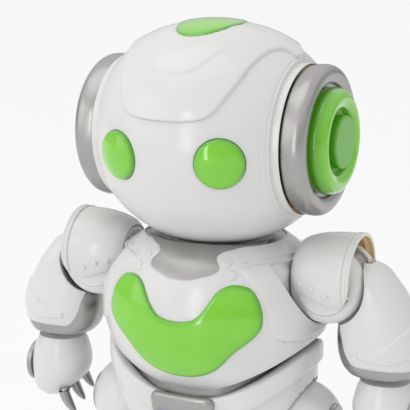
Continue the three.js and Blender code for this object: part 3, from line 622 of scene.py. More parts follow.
def barrel(half_x, middle_x, turns):
    """Part of the barrel between two angles. Two fine lines run round it near each ear, and its ends
    step in to a lip that is 1.6 mm lower."""
    half_x = np.concatenate([half_x, lip_x])
    x = np.concatenate([-half_x[::-1], middle_x, half_x])
    lines = sum(line_cut(np.abs(x), place, 0.22) for place in EAR_LINES)
    plain = head_radius(np.clip(x, -HEAD_END, HEAD_END)) - 0.3 * lines
    radius = np.where(np.abs(x) <= HEAD_END, plain, np.interp(np.abs(x), lip_x, lip_radius))
    low = CROWN_DROP * crown_dip(x[None, :], turns[:, None])
    return round_axis(x[None, :], turns[:, None], radius[None, :] - low)


EYE_TURN = float(head_turn(EYE))
BLOCK_STEPS = 12
block_x = EYE_X + np.linspace(-13, 13, BLOCK_STEPS + 1)
block_turn = EYE_TURN + np.linspace(-18, 18, BLOCK_STEPS + 1)
SEAM = 0.12  # degrees between each shell's edge and the parting line


def front_shell():
    """The front shell: the barrel from crown to chin without the two blocks, and two eye patches."""
    outside = np.concatenate([np.linspace(SEAM, block_turn[0], 40)[:-1], block_turn,
                              np.linspace(block_turn[-1], 180 - SEAM, 36)[1:]])
    inner, outer = block_x[0], block_x[-1]
    middle = np.linspace(-inner, inner, 13)
    ends = finer(np.linspace(outer, HEAD_END, 4), EAR_LINES, 0.7, 0.14)
    ends = ends[(ends >= outer) & (ends <= HEAD_END)]
    surface = barrel(np.concatenate([block_x[:-1], ends]), middle[1:-1], outside)
    shell = grid(surface, (0, 0, HEAD_Z))
    middles = surface.reshape(-1, 3)[shell["faces"]].mean(1)
    across, turn = np.abs(middles[:, 0]), head_turn(middles)
    in_block = (across > inner) & (across < outer) & (turn > block_turn[0]) & (turn < block_turn[-1])
    shell["faces"] = shell["faces"][~in_block]
    eye = grid(eye_patch(inner, outer, block_turn[0], block_turn[-1], BLOCK_STEPS),
               (0, 0, HEAD_Z), close_columns=True)
    return [shell, eye, mirrored(eye)]


make_piece("head_shell_front", front_shell(), "head", [white_abs, painted_warm_glow_abs], "white_shell",
           ["head_front_shell"], wall=WALL, bevel=0.2)
rear_x = finer(np.linspace(0.8, HEAD_END, 24), EAR_LINES, 0.7, 0.14)
rear = barrel(rear_x[rear_x <= HEAD_END], [], np.linspace(180 + SEAM, 360 - SEAM, 91))
make_piece("head_shell_rear", [grid(rear, (0, 0, HEAD_Z))], "head", [white_abs, painted_warm_glow_abs],
           "white_shell", ["head_rear_shell"], wall=WALL, bevel=0.2)
print("eye centre", np.round(EYE, 1), "eye normal", np.round(EYE_NORMAL, 2))

# %% [markdown]
# A raised cap covers the crown, the brow and the back of the head, with a pointed tongue towards each
# ear. Its outline is a smooth line through a few points given as half width and angle. Rows of the grid
# run straight across from the outline on one side to the same place on the other, so the grid's border
# is exactly the outline, and the height follows the distance to it: a quarter-round edge.

# %% The crown cap
CAP_RISE, CAP_EDGE = 1.45, 0.9
CROWN_Y, CROWN_HALF_WIDTH, CROWN_HALF_LENGTH = -3.6, 13.0, 20.0
cap_front = [(0, 77), (6, 76.9), (11.5, 76.2), (16.2, 74.4), (19.8, 70.6), (22.8, 63.5), (26.2, 51.5),
             (28.2, 39), (30, 27), (32.2, 15.5), (34.7, 9.6), (38.2, 7.8)]


def crown_share(points):
    """How far out a point lies in the crown lens's oval: 0 at its middle, 1 on its edge."""
    return np.hypot(points[..., 0] / CROWN_HALF_WIDTH, (points[..., 1] - CROWN_Y) / CROWN_HALF_LENGTH)


def crown_cap():
    """Across: x = s * half width, s from -1 to 1. Along: the outline's points. Height: 1.45 mm times a
    quarter-round of the distance to the outline, a 0.5 mm step on the brow, and a seat for the lens."""
    front = through(cap_front, 100)
    outline = np.concatenate([front, [[38.2, 0]], front[::-1] * [1, -1]])
    s = crowded(73, 1.8)
    x, turn = outline[:, :1] * s, np.repeat(outline[:, 1:], len(s), 1)
    flat = on_head(x, turn)
    border = on_head(*through(outline, 900).T)
    border = np.concatenate([border, border * [-1, 1, 1]])
    inside = distance_to(flat, border)
    inside = np.where(np.abs(x) > 37.9, 0.4 * inside, inside)
    step_line = through([(0, 55), (7, 53), (10.5, 49), (15, 40), (19, 30)], 200)
    step_half = np.interp(turn, step_line[::-1, 1], step_line[::-1, 0])
    step_near = distance_to(np.abs(flat) * [1, -1, 1], on_head(*step_line.T))
    signed = np.where(np.abs(x) < step_half, 1, -1) * step_near
    fade = smoothstep(turn, 24, 44) * (turn < 56)
    step = 0.5 * smoothstep(signed, -0.35, 0.35) * fade
    seat = smoothstep(1 - crown_share(flat), 0.02, 0.08)
    height = (CAP_RISE - 0.8 * crown_dip(x, turn)) * roll(inside, CAP_EDGE) + step * (1 - seat) - seat
    sink_border(height, -0.3)
    return grid(on_head(x, turn, height), (0, 0, HEAD_Z), edge=near_edge(inside))


def crown_lens():
    """Ovals that follow the head: x = 13 s cos, y = -3.6 + 20 s sin. The edge is a quarter-round of
    1.2 mm and the top swells by 0.25 mm towards the middle."""
    share = 1 - (1 - np.linspace(1, 0, 30)) ** 1.6
    share[-1] = 0
    angle = np.linspace(0, 2 * np.pi, 97)[None, :-1]
    x = CROWN_HALF_WIDTH * share[:, None] * np.cos(angle)
    y = CROWN_Y + CROWN_HALF_LENGTH * share[:, None] * np.sin(angle)
    inside = (1 - share[:, None]) * CROWN_HALF_WIDTH
    turn = np.degrees(np.arcsin(-y / HEAD_RADIUS))
    grow = 0.9 - 0.8 * crown_dip(x, turn) + 1.0 * roll(inside, 1.2) + 0.25 * (1 - share[:, None] ** 2)
    rows = on_head(x, turn, grow)
    foot = on_head(x[:1], turn[:1], -0.6)
    edge = np.concatenate([[[1.0]], near_edge(inside, 1.2)])
    return grid(np.concatenate([foot, rows]), (0, 0, HEAD_Z + 36), close_columns=True, edge=edge)


make_piece("cap_crown", [crown_cap()], "head", [white_abs], "white_shell", ["crown_cap"])
make_piece("lens_crown", [crown_lens()], "head", [green_lens], "green_lens", ["crown_lens"])
print("cap stands", CAP_RISE, "mm proud of the head")

# %% [markdown]
# The eyes are domed green lenses with a rounded rim, set square to the face in their round holes.

# %% The eye lenses
def eye_dome():
    """Rings about the eye's normal: a skirt, a quarter-round rim of 1.1 mm, and a dome that falls by
    2.4 mm times the square of the share of the way out."""
    share = np.concatenate([[1, 1], 1 - np.linspace(0, 1, 26) ** 1.5])
    rise = 0.35 + 1.0 * roll((1 - share) * EYE_RADIUS, 1.1) + 1.5 * (1 - share**2)
    rise[:2] = [-3, -0.2]
    angle = np.linspace(0, 2 * np.pi, 73)[None, :-1, None]
    share, rise = share[:, None, None] * EYE_RADIUS, rise[:, None, None]
    points = EYE + share * (np.cos(angle) * EYE_RIGHT + np.sin(angle) * EYE_UP) + rise * EYE_NORMAL
    points = points - (share / EYE_RADIUS) ** 2 * 0.9 * EYE_NORMAL
    return grid(points, EYE - 4 * EYE_NORMAL, close_columns=True,
                edge=near_edge(EYE_RADIUS - share[..., 0], 0.9))


make_pair("eye", [eye_dome()], "head", [green_lens], "green_lens", ["eye_lens"], one_body=True)
print("eye radius", EYE_RADIUS, "mm")

# %% [markdown]
# ## The ears
# Each ear is three turned mouldings about one axis: a wide silver ring with a rounded outer edge, a
# green disc with a fat rim sitting in it, and a flat round knob in the middle. A turned profile is a
# list of corners as (place along the axis, radius, rounding), so each edge catches its own highlight.

# %% Ear rings, discs and knobs
EAR = np.array([0, 0, HEAD_Z])
DISC_RADIUS, KNOB_RADIUS = 21.5, 10.8
crowned = through([(41.95, 29.6), (43.7, 30.0), (46.2, 30.3), (48.3, 30.2), (49.9, 29.6), (51.0, 28.3),
                   (51.4, 26.3), (51.1, 24.3)], 30)
ring_profile = np.concatenate([
    rounded([(48.7, 0), (48.7, 22.7), (50.5, 23.2, 0.5), tuple(crowned[-1])], 0.6)[:-1], crowned[::-1],
    rounded([(41.85, 29.3), (41.7, 28.9), (40.8, 28.7), (40.8, 0)], 1.0)])
ear_ring = grid(turned(ring_profile, EAR, "x"), EAR + [46, 0, 0], close_rows=True)
ear_disc = turned_grid([
    (48.9, 0), (48.9, 21.3), (52.8, DISC_RADIUS, 1.7), (55.8, 20.2, 1.4), (57.0, 17.2, 1.4),
    (55.7, 13.6, 1.1), (52.3, 12.8, 0.5), (52.3, 0)], EAR, "x", 0.6)
# The edge values of the disc and the knob place their painted rim shade.
ear_disc["edge"] = near_edge(DISC_RADIUS - np.linalg.norm((ear_disc["points"] - EAR)[:, 1:], axis=1), 1.2)
ear_knob = turned_grid([(51.6, 0), (51.6, KNOB_RADIUS), (57.25, 10.7, 1.0), (57.3, 0)], EAR, "x", 0.6)
ear_knob["edge"] = near_edge(KNOB_RADIUS - np.linalg.norm((ear_knob["points"] - EAR)[:, 1:], axis=1), 0.8)
make_pair("ring_ear", [ear_ring], "head", [silver_paint], "silver_paint", ["ear_ring"], one_body=True)
make_pair("disc_ear", [ear_disc], "head", [green_lens], "green_lens", ["ear_disc"], one_body=True)
make_pair("knob_ear", [ear_knob], "head", [green_knob], "green_lens", ["ear_knob"], one_body=True)
print("ear reaches x =", round(ear_knob["points"][:, 0].max(), 1), "mm")

# %% [markdown]
# ## The torso
# The torso is a barrel that narrows to the neck and to the waist. Each level is a superellipse, a
# little squarer than an ellipse, and its half width follows another superellipse in height, so one
# formula gives the whole shell. The angle is 0 at the front and 90 at the robot's left.

# %% The torso's surface
CHEST_Z, CHEST_HALF_WIDTH, DEPTH_RATIO, CHEST_TOP, BODY_POWER = 138, 48, 0.855, 170.4, 2.15
CHEST_EDGE_FRONT, CHEST_EDGE_RISE = 110, 21


def chest_half_width(z):
    """48 * (1 - s^p)^(1/p): above the widest level s = (z - 138)/39 and p = 2.3, below it s =
    (138 - z)/42 and p = 1.9."""
    above = np.clip((z - CHEST_Z) / 39, 0, 1)
    below = np.clip((CHEST_Z - z) / 42, 0, 1)
    upper, lower = (1 - above**2.3) ** (1 / 2.3), (1 - below**1.9) ** (1 / 1.9)
    return CHEST_HALF_WIDTH * np.where(z > CHEST_Z, upper, lower)


def chest_round(degrees, z, grow=0):
    """A point of the torso at an angle and a height: x = a * bow(sin), y = -b * bow(cos)."""
    a = chest_half_width(z)
    angle = np.radians(degrees)
    return np.stack(np.broadcast_arrays((a + grow) * bow(np.sin(angle), BODY_POWER),
                                        -(a * DEPTH_RATIO + grow) * bow(np.cos(angle), BODY_POWER), z), -1)


def chest_front(x, z, grow=0):
    """The point of the torso's front straight behind (x, z): y = -b * (1 - |x/a|^p)^(1/p)."""
    a = chest_half_width(z)
    share = np.clip(np.abs(x) / (a + grow), 0, 1)
    y = -(a * DEPTH_RATIO + grow) * (1 - share**BODY_POWER) ** (1 / BODY_POWER)
    return np.stack(np.broadcast_arrays(x, y, z), -1)


def chest_side(y, z, grow=0):
    """The point of the torso's left side beside (y, z): x = a * (1 - |y/b|^p)^(1/p)."""
    a = chest_half_width(z)
    share = np.clip(np.abs(y) / (a * DEPTH_RATIO + grow), 0, 1)
    return np.stack(np.broadcast_arrays((a + grow) * (1 - share**BODY_POWER) ** (1 / BODY_POWER), y, z), -1)


def chest_edge(degrees):
    """Height of the torso's lower edge: 110 + 21 * sin^2, higher at the sides."""
    return CHEST_EDGE_FRONT + CHEST_EDGE_RISE * np.sin(np.radians(degrees)) ** 2


print("torso half width at the top:", round(float(chest_half_width(np.float64(CHEST_TOP))), 1), "mm")

# %% [markdown]
# Both half shells leave room for the arms: a round socket with a flat floor in each side, inside a
# raised panel with rounded corners. The panel is its own polar grid, from the middle of the floor up
# the socket's wall and out to the panel's edge, and the shell below it is pushed in out of sight.

# %% The side panel round each shoulder socket
SOCKET_FLOOR, SOCKET_RADIUS = 37.5, 20.8
DRUM_ROOM = 37.9  # above the axis the panel stays inboard of the turning arm
PANEL = {"half": 29.0, "low": 133.3, "high": 165.0, "rise": 0.9}
SHOULDER_Z = SHOULDER[2]


def panel_reach(angle):
    """Distance from the shoulder axis to the panel's outline, along an angle from +Z towards +Y: a
    superellipse-cornered rectangle, narrower above the axis than below."""
    y, z = np.sin(angle), np.cos(angle)
    up = np.where(z > 0, PANEL["high"] - SHOULDER_Z, SHOULDER_Z - PANEL["low"])
    power = 7.0
    box_reach = (np.abs(y / PANEL["half"]) ** power + np.abs(z / up) ** power) ** (-1 / power)
    return np.maximum(box_reach, 1.0)


def side_panel(front):
    """Polar rows about the shoulder axis: floor, wall, rounded lip, raised ring, quarter-round edge."""
    angle = np.radians(np.linspace(180.3, 359.7, 91) if front else np.linspace(0.3, 179.7, 91))[None, :]
    reach = panel_reach(angle)
    socket = np.minimum(SOCKET_RADIUS, reach - 1.6)

    def raised(rho, grow):
        """Points of the torso's side at a distance rho from the shoulder axis, raised by grow."""
        y, z = rho * np.sin(angle), SHOULDER_Z + rho * np.cos(angle)
        points = chest_side(y, z, grow)
        points[..., 0] = np.where(z > SHOULDER_Z + 3, np.minimum(points[..., 0], DRUM_ROOM), points[..., 0])
        return points

    lip = raised(socket, PANEL["rise"] - 0.4)
    rows = []
    for rho in (0.5, 8, 16, SOCKET_RADIUS - 1.2):
        floor = raised(np.minimum(rho, socket - 0.3), 0)
        floor[..., 0] = np.minimum(SOCKET_FLOOR, floor[..., 0] - 0.2)
        rows.append(floor)
    for share in (0.0, 0.1, 0.5, 1.0):
        wall = lip.copy()
        low = np.minimum(SOCKET_FLOOR, lip[..., 0] - 0.2)
        wall[..., 0] = low + share * (lip[..., 0] - low)
        rows.append(wall)
    rows.append(raised(socket + 0.15, PANEL["rise"] - 0.1))
    rows.append(raised(socket + 0.5, PANEL["rise"]))
    for share in np.linspace(0.12, 0.9, 8):
        rows.append(raised(socket + 0.5 + share * (reach - 1.2 - socket - 0.5), PANEL["rise"]))
    for inward in (1.0, 0.7, 0.4, 0.2, 0.08, 0.0):
        rows.append(raised(reach - inward, PANEL["rise"] * roll(np.float64(inward), 1.0)))
    rows.append(raised(reach + 0.02, -0.5))
    rows = np.concatenate([row.reshape(1, -1, 3) for row in rows])
    return grid(rows, (20, 0, SHOULDER_Z - 6))


def under_panel(points):
    """How far the shell is pushed in below the panel, from 0 at its outline to 6 mm inside."""
    y, z = points[..., 1], points[..., 2] - SHOULDER_Z
    inside = panel_reach(np.arctan2(y, z)) - np.hypot(y, z)
    return 6 * smoothstep(inside, 0.6, 2.2) + np.maximum(0, inside - 4) * 0.4


print("socket floor at x =", SOCKET_FLOOR, "panel rises", PANEL["rise"], "mm")

# %% [markdown]
# The front shell has a neckline, in which the silver collar lies a little lower. Four shallow round
# heads, two on each side, sit beside it. The back shell is plain; its battery door is a piece of its own.

# %% The front and back torso shells
neckline = np.array([(0, 158.5), (4.5, 158.8), (9, 160), (13, 161.2), (15, 162.6), (14.9, 164.2), (13.4, 166),
                     (12.9, 167.4), (14.6, 168.8), (18.5, 169.8), (24, 171), (29, 173)])
neck_curve = through(neckline, 400)
COLLAR_DEPTH = 0.55


def collar_inside(points):
    """Signed distance to the neckline, above 0 inside it. The line's half width is a function of the
    height, which tells the two sides apart."""
    near = distance_to(np.abs(points) * [1, -1, 1], chest_front(neck_curve[:, 0], neck_curve[:, 1]))
    half = np.interp(points[..., 2], neck_curve[:, 1], neck_curve[:, 0])
    inside = (points[..., 2] > neck_curve[0, 1]) & (np.abs(points[..., 0]) < half) & (points[..., 1] < 0)
    return np.where(inside, near, -near)


def torso_half(front):
    """Half of the barrel: z = edge + share * (top - edge) for each angle. The panels' seats are pushed
    in, and on the front the neckline too."""
    span = 90 - 0.16
    if front:
        degrees = np.unique(np.concatenate([np.linspace(-span, span, 91), np.linspace(-40, 40, 161)]))
        heights = np.unique(np.concatenate([np.linspace(0, 1, 41), np.linspace(0.75, 1, 60)]))
    else:
        degrees, heights = 180 + np.linspace(-span, span, 91), np.linspace(0, 1, 41)
    edge = chest_edge(degrees)[None, :]
    z = edge + heights[:, None] * (CHEST_TOP - edge)
    flat = chest_round(degrees[None, :], z)
    push = under_panel(flat) * (np.abs(flat[..., 0]) > 20)
    if front:
        push = push + 1.5 * smoothstep(collar_inside(flat), -0.12, 0.3)
    return grid(chest_round(degrees[None, :], z, -push), (0, 0, CHEST_Z))


def dome(surface, u, v, radius, rise):
    """A shallow round head on a surface: rings about (u, v), raised by rise * sqrt(1 - share^2) as on a
    flattened ball, and sunk at the rim."""
    share = np.linspace(1, 0, 8)[:, None]
    angle = np.linspace(0, 2 * np.pi, 25)[None, :-1]
    height = rise * np.sqrt(1 - share**2) - 0.25 * (share == 1)
    points = surface(u + radius * share * np.cos(angle), v + radius * share * np.sin(angle), height)
    return grid(points, points[-1, 0] - unit(points[-1, 0] - [0, 0, CHEST_Z]) * 4, close_columns=True)


heads = [dome(chest_front, x, z, 1.9, 0.6) for x, z in ((17.6, 165.6), (20.6, 161.2))]
make_piece("shell_chest", [torso_half(True)], "torso", [white_abs], "white_shell", ["chest_shell"],
           wall=WALL, bevel=0.3)
make_piece("shell_back", [torso_half(False)], "torso", [white_abs], "white_shell", ["back_shell"],
           wall=WALL, bevel=0.3)
for name, front in (("front", True), ("back", False)):
    make_pair("panel_side_" + name, [side_panel(front)], "torso", [white_abs], "white_shell", one_body=True)
make_piece("shoulder_heads", heads + [mirrored(h) for h in heads], "torso", [white_abs], "white_shell")
print("torso front:", len(torso_half(True)["faces"]), "faces")

# %% [markdown]
# The collar is one silver moulding behind the neckline, with a dish in which the head turns. It needs
# only a surface a little lower than the shell, with its border hidden behind the shell's edge.

# %% The silver collar and its dish
def collar():
    """The front patch of the collar: |x| up to 27 mm, z from 156.8 to 171.2 mm, sunk below the shell."""
    x, z = np.meshgrid(np.linspace(-27, 27, 65), np.linspace(156.8, 171.2, 28), indexing="xy")
    return grid(chest_front(x, z, -COLLAR_DEPTH), (0, 0, CHEST_Z))


def neck_dish():
    """A flat ring inside the torso's top that dips towards the neck: a bowl 1.6 mm below the head."""
    share = np.linspace(1.0, 0.3, 16)[:, None]
    angle = np.linspace(0, 360, 97)[None, :-1]
    edge = chest_round(angle, np.float64(CHEST_TOP - 0.6), -WALL * 0.6)
    x, y = edge[..., 0] * share, edge[..., 1] * share
    under = 1 - (x / (HEAD_LENGTH + 1.6)) ** 2 - (y / (HEAD_RADIUS + 1.6)) ** 2
    z = np.minimum(HEAD_Z - (HEAD_RADIUS + 1.6) * np.sqrt(under), CHEST_TOP - 0.6)
    return grid(np.stack([x, y, z], -1), (0, 0, 120), close_columns=True)


make_piece("collar_neck", [collar(), neck_dish()], "torso", [silver_paint], "silver_paint", ["neck_collar"],
           wall=0.8)
print("collar lies", COLLAR_DEPTH, "mm below the shell")

# %% [markdown]
# The green chest panel is shaped like two large drops joined in a smile. Its upper and its lower edge
# are smooth lines that meet at the outer ends, and each column of the grid runs straight from one line
# to the other. The height follows the distance to the border, so the edge is evenly rounded.

# %% The green chest panel
lens_top = [(0, 142.5), (4.5, 143), (8.5, 144.6), (12.3, 149), (16, 155), (19.2, 157.4), (23, 158),
            (28, 156.6), (31.3, 152.6), (33.2, 147.6), (33.6, 143)]
lens_bottom = [(0, 117.8), (5.5, 118.2), (11, 119.8), (15.4, 122.3), (19, 125.6), (22, 129), (25, 132),
               (28.2, 134.6), (31, 137.4), (33, 140.3), (33.6, 143)]
LENS_RISE = 1.5


def chest_panel():
    """Columns u from the left end to the right, rows s from the lower line B to the upper line T:
    (x, z) = B(u) (1 - s) + T(u) s."""
    u = (crowded(121, 1.5) + 1) / 2
    share = np.abs(2 * u - 1)
    sign = np.sign(2 * u - 1)[:, None] * [1, 0] + [0, 1]
    top_line, bottom_line = through(lens_top, 600), through(lens_bottom, 600)
    top, bottom = (even(line, 0, share) * sign for line in (top_line, bottom_line))
    s = (crowded(41, 1.8)[:, None, None] + 1) / 2
    flat = bottom * (1 - s) + top * s
    border = np.concatenate([top_line, bottom_line])
    border = chest_front(border[:, 0], border[:, 1])
    place = chest_front(flat[..., 0], flat[..., 1])
    inside = distance_to(np.abs(place) * [1, -1, 1], border)
    height = LENS_RISE * roll(inside, 1.5) + 0.35 * (1 - np.exp(-inside / 5))
    sink_border(height, -0.4)
    return grid(chest_front(flat[..., 0], flat[..., 1], height), (0, 0, CHEST_Z), edge=near_edge(inside, 0.9))


make_piece("panel_chest", [chest_panel()], "torso", [green_lens], "green_lens", ["chest_lens"])
print("chest panel stands", LENS_RISE, "mm proud")

# %% [markdown]
# A silver band shows in the joint below the torso's edge. It is a shallow cone that comes out from
# behind the edge and goes down behind the skirt, so that nothing gapes when the waist twists.

# %% The silver waist band
BAND_SHARE = np.array([0.86, 0.775, 0])  # the band's outer edge, as shares of the torso's widest level
BAND_START, BAND_DROP, BAND_FLANGE = 2.4, 3.2, 5.0


def waist_band():
    """A cone from behind the torso's edge down and out to the skirt: (1 - s) * torso + s * skirt, with
    a bulge of 0.8 mm halfway, and a flange that goes straight down inside the skirt."""
    degrees = np.linspace(0, 360, 181)[:-1]
    edge = chest_edge(degrees)
    inner = chest_round(degrees, edge + BAND_START, -BAND_START)
    outer = chest_round(degrees, np.full_like(edge, CHEST_Z), 0) * BAND_SHARE
    outer[..., 2] = edge - BAND_DROP
    s = np.linspace(0, 1, 13)[:, None, None]
    cone = inner * (1 - s) + outer * s
    cone[..., 2] += 0.8 * np.sin(np.pi * s[..., 0])
    flange = outer - [0, 0, BAND_FLANGE]
    return grid(np.concatenate([cone, flange[None]]), (0, 0, 100), close_columns=True)


# The band takes the darker silver, painted shade for its recess under the torso's edge.
make_piece("band_waist", [waist_band()], "torso", [painted_shade_silver], "silver_paint", ["waist_band"], wall=1.2)
print("waist band starts", BAND_START, "mm above the torso's edge and ends", BAND_DROP, "mm below it")

# %% [markdown]
# The back carries the battery door: a plate with rounded corners, three grip ribs near its top and one
# sunk screw near its bottom.

# %% The battery door and its screw
door_low, door_high = box_mm("battery_door")
DOOR = {"half": (door_high - door_low)[0] / 2, "z": (door_high + door_low)[2] / 2,
        "tall": (door_high - door_low)[2] / 2}


def chest_back(x, z, grow=0):
    """The point of the torso's back behind (x, z): the front's point with y turned round."""
    return chest_front(x, z, grow) * [1, -1, 1]


def door():
    """A rounded rectangle on the back, 0.55 mm proud, with three ribs 0.6 mm high and a round well for
    the screw."""
    across, up, inside = rounded_rectangle(DOOR["half"], DOOR["tall"], 4, 91, 91)
    ribs = sum(roll(np.clip(0.9 - np.abs(up - place), 0, 9), 0.9) for place in (8.5, 11, 13.5))
    ribs = ribs * roll(np.clip(8 - np.abs(across), 0, 9), 1.0)
    well = smoothstep(3.6 - np.hypot(across, up + DOOR["tall"] - 5.4), -0.3, 0.3)
    height = 0.55 * roll(inside, 0.7) + 0.6 * ribs - 1.1 * well
    sink_border(height, -0.6)
    return grid(chest_back(across, DOOR["z"] + up, height), (0, 0, CHEST_Z))


def screw_head():
    """A pan head 2.7 mm in radius with a cross recess: rings about its middle, facing back."""
    radius = 2.7
    low, high = box_mm("battery_door_screw")
    middle = (low + high) / 2
    share = 1 - (1 - np.linspace(1, 0, 20)) ** 1.2
    angle = np.linspace(0, 2 * np.pi, 73)[None, :-1]
    x, z = radius * share[:, None] * np.cos(angle), radius * share[:, None] * np.sin(angle)
    cross = (np.minimum(np.abs(x), np.abs(z)) < 0.4) & (np.hypot(x, z) < 1.8)
    depth = 0.8 * roll((1 - share[:, None]) * radius, 0.8) - 0.7 * cross
    top = chest_back(np.zeros(1), np.array([middle[2]]))[0, 1] - 1.35
    points = np.stack([middle[0] + x, top + depth, middle[2] + z], -1)
    foot = points[:1] - [0, 2.2, 0]
    return grid(np.concatenate([foot, points]), middle - [0, 3, 0], close_columns=True)


make_piece("door_battery", [door()], "torso", [white_abs], "white_shell", ["battery_door"])
make_piece("screw_door", [screw_head()], "torso", [pin_steel], "steel", ["battery_door_screw"])
print("battery door", np.round(door_high - door_low, 1), "mm")

# %% [markdown]
# ## The arms
# The shoulder pad is a white sleeve round the shoulder axis, narrow at the torso and open outwards,
# with its lower part left out so that the arm can swing. A band runs round its mouth, and three small
# round heads sit on its front.

# %% The shoulder pads
PAD_WIDEN, PAD_END = 1.06, 64.5
PAD_LINES = (61.4, 63.4)  # two fine grooves beside the band round the pad's mouth
pad_profile = through([(38.3, 11.6), (39.6, 13.1), (42, 14.6), (47, 16.2), (54, 17.2), (64.5, 17.6)], 300)


def pad_radius(x):
    """Radius of the pad at x, with a band 0.35 mm proud beyond the first of two fine grooves."""
    grooves = 0.35 * line_cut(x, PAD_LINES[0], 0.2) + 0.2 * line_cut(x, PAD_LINES[1], 0.16)
    band = 0.35 * smoothstep(x, 61.6, 62.0) - grooves
    return np.interp(x, pad_profile[:, 0], pad_profile[:, 1]) + band


hem_line = through([(38, 152.6), (44, 151.8), (48, 150.7), (53, 148.9), (57, 147.8), (59.5, 148),
                    (61.6, 149.6), (63.2, 152), (64.2, 155), (64.6, 158)], 200)


def pad_hem(x):
    """Height of the pad's lower edge: it falls away from the torso and turns up at the mouth."""
    return np.interp(x, hem_line[:, 0], hem_line[:, 1])


def pad_point(x, angle, grow=0):
    """A point of the pad at x and an angle from the top: y = 1.06 r sin, z = shoulder + r cos."""
    radius = pad_radius(x) + grow
    return np.stack(np.broadcast_arrays(x, PAD_WIDEN * radius * np.sin(angle),
                                        SHOULDER_Z + radius * np.cos(angle)), -1)


def shoulder_pad():
    """Rows along x and, in each, angles from the hem at the back to the hem at the front."""
    x = finer(np.linspace(38.3, PAD_END, 36), PAD_LINES, 0.6, 0.12)
    x = x[x <= PAD_END]
    end = np.arccos(np.clip((pad_hem(x) - SHOULDER_Z) / pad_radius(x), -1, 1))
    return grid(pad_point(x[:, None], end[:, None] * np.linspace(-1, 1, 73)[None, :]),
                (50, 0, SHOULDER_Z))


def pad_front(x, z, grow=0):
    """The point of the pad's front at (x, z)."""
    up = np.clip((z - SHOULDER_Z) / (pad_radius(x) + grow), -1, 1)
    return pad_point(x, -np.arccos(up), grow)


pad_heads = [dome(pad_front, x, z, 1.5, 0.7) for x, z in ((43.5, 156.6), (49, 155.4), (54.5, 152.9))]
make_pair("pad_shoulder", [shoulder_pad()], "arm", [white_abs, painted_warm_glow_abs], "white_shell", ["shoulder_pad"],
          wall=1.6, bevel=0.3)
make_pair("pad_heads", pad_heads, "arm", [white_abs], "white_shell")
print("pad mouth radius", round(float(pad_radius(np.float64(PAD_END))), 1), "mm")

# %% [markdown]
# The upper arm is a drum across the sleeve, whose underside shows below the pad. It has a slot in the
# middle for the forearm's tongue, so it is drawn as two turned cheeks and a block that joins them
# against the torso.

# %% The upper arms
DRUM_RADIUS, DRUM_HALF, SLOT_HALF, DRUM_FACE = 16, 14, 5.4, 38.3


def cheek(side):
    """One cheek of the drum turned about Y, from the slot out to its chamfered face. What would reach
    into the torso is pressed flat at x = 38.3."""
    corners = [(side * SLOT_HALF, 0), (side * SLOT_HALF, DRUM_RADIUS - 0.05, 0.4),
               (side * 8.2, DRUM_RADIUS, 0.8), (side * 11.6, 14.9, 1.3), (side * 13.6, 12.4, 1.3),
               (side * DRUM_HALF, 10.4, 0.8), (side * (DRUM_HALF + 0.02), 0)]
    points = turned(rounded(corners, 0.9), ELBOW, "y")
    points[..., 0] = np.maximum(points[..., 0], DRUM_FACE)
    return grid(points, ELBOW + [0, side * 9.5, 0], close_rows=True)


def block():
    """The solid part of the upper arm next to the torso: a disc 6.6 mm thick about the shoulder axis."""
    corners = [(DRUM_FACE, 0), (DRUM_FACE, 10.6), (44.8, 11, 0.5), (44.9, 0)]
    points = turned(rounded(corners, 1.0), SHOULDER, "x")
    return grid(points, (42, 0, SHOULDER_Z), close_rows=True)


make_pair("arm_upper", [cheek(1), cheek(-1), block()], "arm", [white_abs], "white_shell", ["upper_arm"])
print("elbow drum radius", DRUM_RADIUS, "mm")

# %% [markdown]
# The forearm is lofted: squarish rings through eight sections, from inside the pad's mouth down to the
# cuff. Its white cover wraps the outside. On the inner side and in a narrow band at the bottom the
# silver core shows. The border between them is a line of half widths, so each row of the cover's grid
# starts and ends exactly on it.

# %% The forearm's surface
FOREARM_POWER = 2.4
forearm_sections = [(164.7, 67.6, 0, 2.2, 3.6), (161.5, 68.9, 0, 6.2, 9.2), (156, 70.1, 0, 9.6, 12.2),
                    (150, 71.3, 0, 12.9, 13.2), (138, 72.7, 0, 17.4, 14.1), (129, 73.4, 0, 18, 14.4),
                    (122.6, 73.9, 0, 16.8, 13.6), (118.2, 74.3, 0, 13.6, 12)]
forearm_rows = through(forearm_sections, 300)[::-1]
CUFF_Z = forearm_sections[-1][0]
COVER_BOTTOM, COVER_TOP = 123.6, forearm_sections[0][0]


def forearm_at(z):
    """Centre x, half width and half depth of the forearm at a height."""
    return [np.interp(z, forearm_rows[:, 0], forearm_rows[:, k]) for k in (1, 3, 4)]


def forearm(angle, z, grow=0):
    """A point of the forearm: x = centre + a * bow(sin), y = -b * bow(cos)."""
    centre, a, b = forearm_at(z)
    return np.stack(np.broadcast_arrays(centre + (a + grow) * bow(np.sin(angle), FOREARM_POWER),
                                        -(b + grow) * bow(np.cos(angle), FOREARM_POWER), z), -1)


def drum_side(z, room=0.6):
    """x of the elbow drum's outer side at a height, plus some room, or 0 below the drum."""
    square = (DRUM_RADIUS + room) ** 2 - (z - ELBOW[2]) ** 2
    return np.where(square > 0, ELBOW[0] + np.sqrt(np.maximum(square, 0)), 0)


cover_line = through([(66.5, COVER_BOTTOM), (64.4, 125), (62.4, 127.6), (60.9, 131), (59.6, 135.5),
                      (58.2, 140), (58, 146), (58, 165)], 300)


def cover_start(z):
    """Angle at which the cover begins at a height: where x reaches the border or the drum."""
    centre, a = forearm_at(z)[:2]
    x = np.maximum(np.interp(z, cover_line[:, 1], cover_line[:, 0]), drum_side(z))
    side = np.clip((x - centre) / a, -0.999, 0.999)
    return np.arcsin(np.sign(side) * np.abs(side) ** (FOREARM_POWER / 2))


print("forearm half width:", round(forearm_rows[:, 3].max(), 1), "mm")

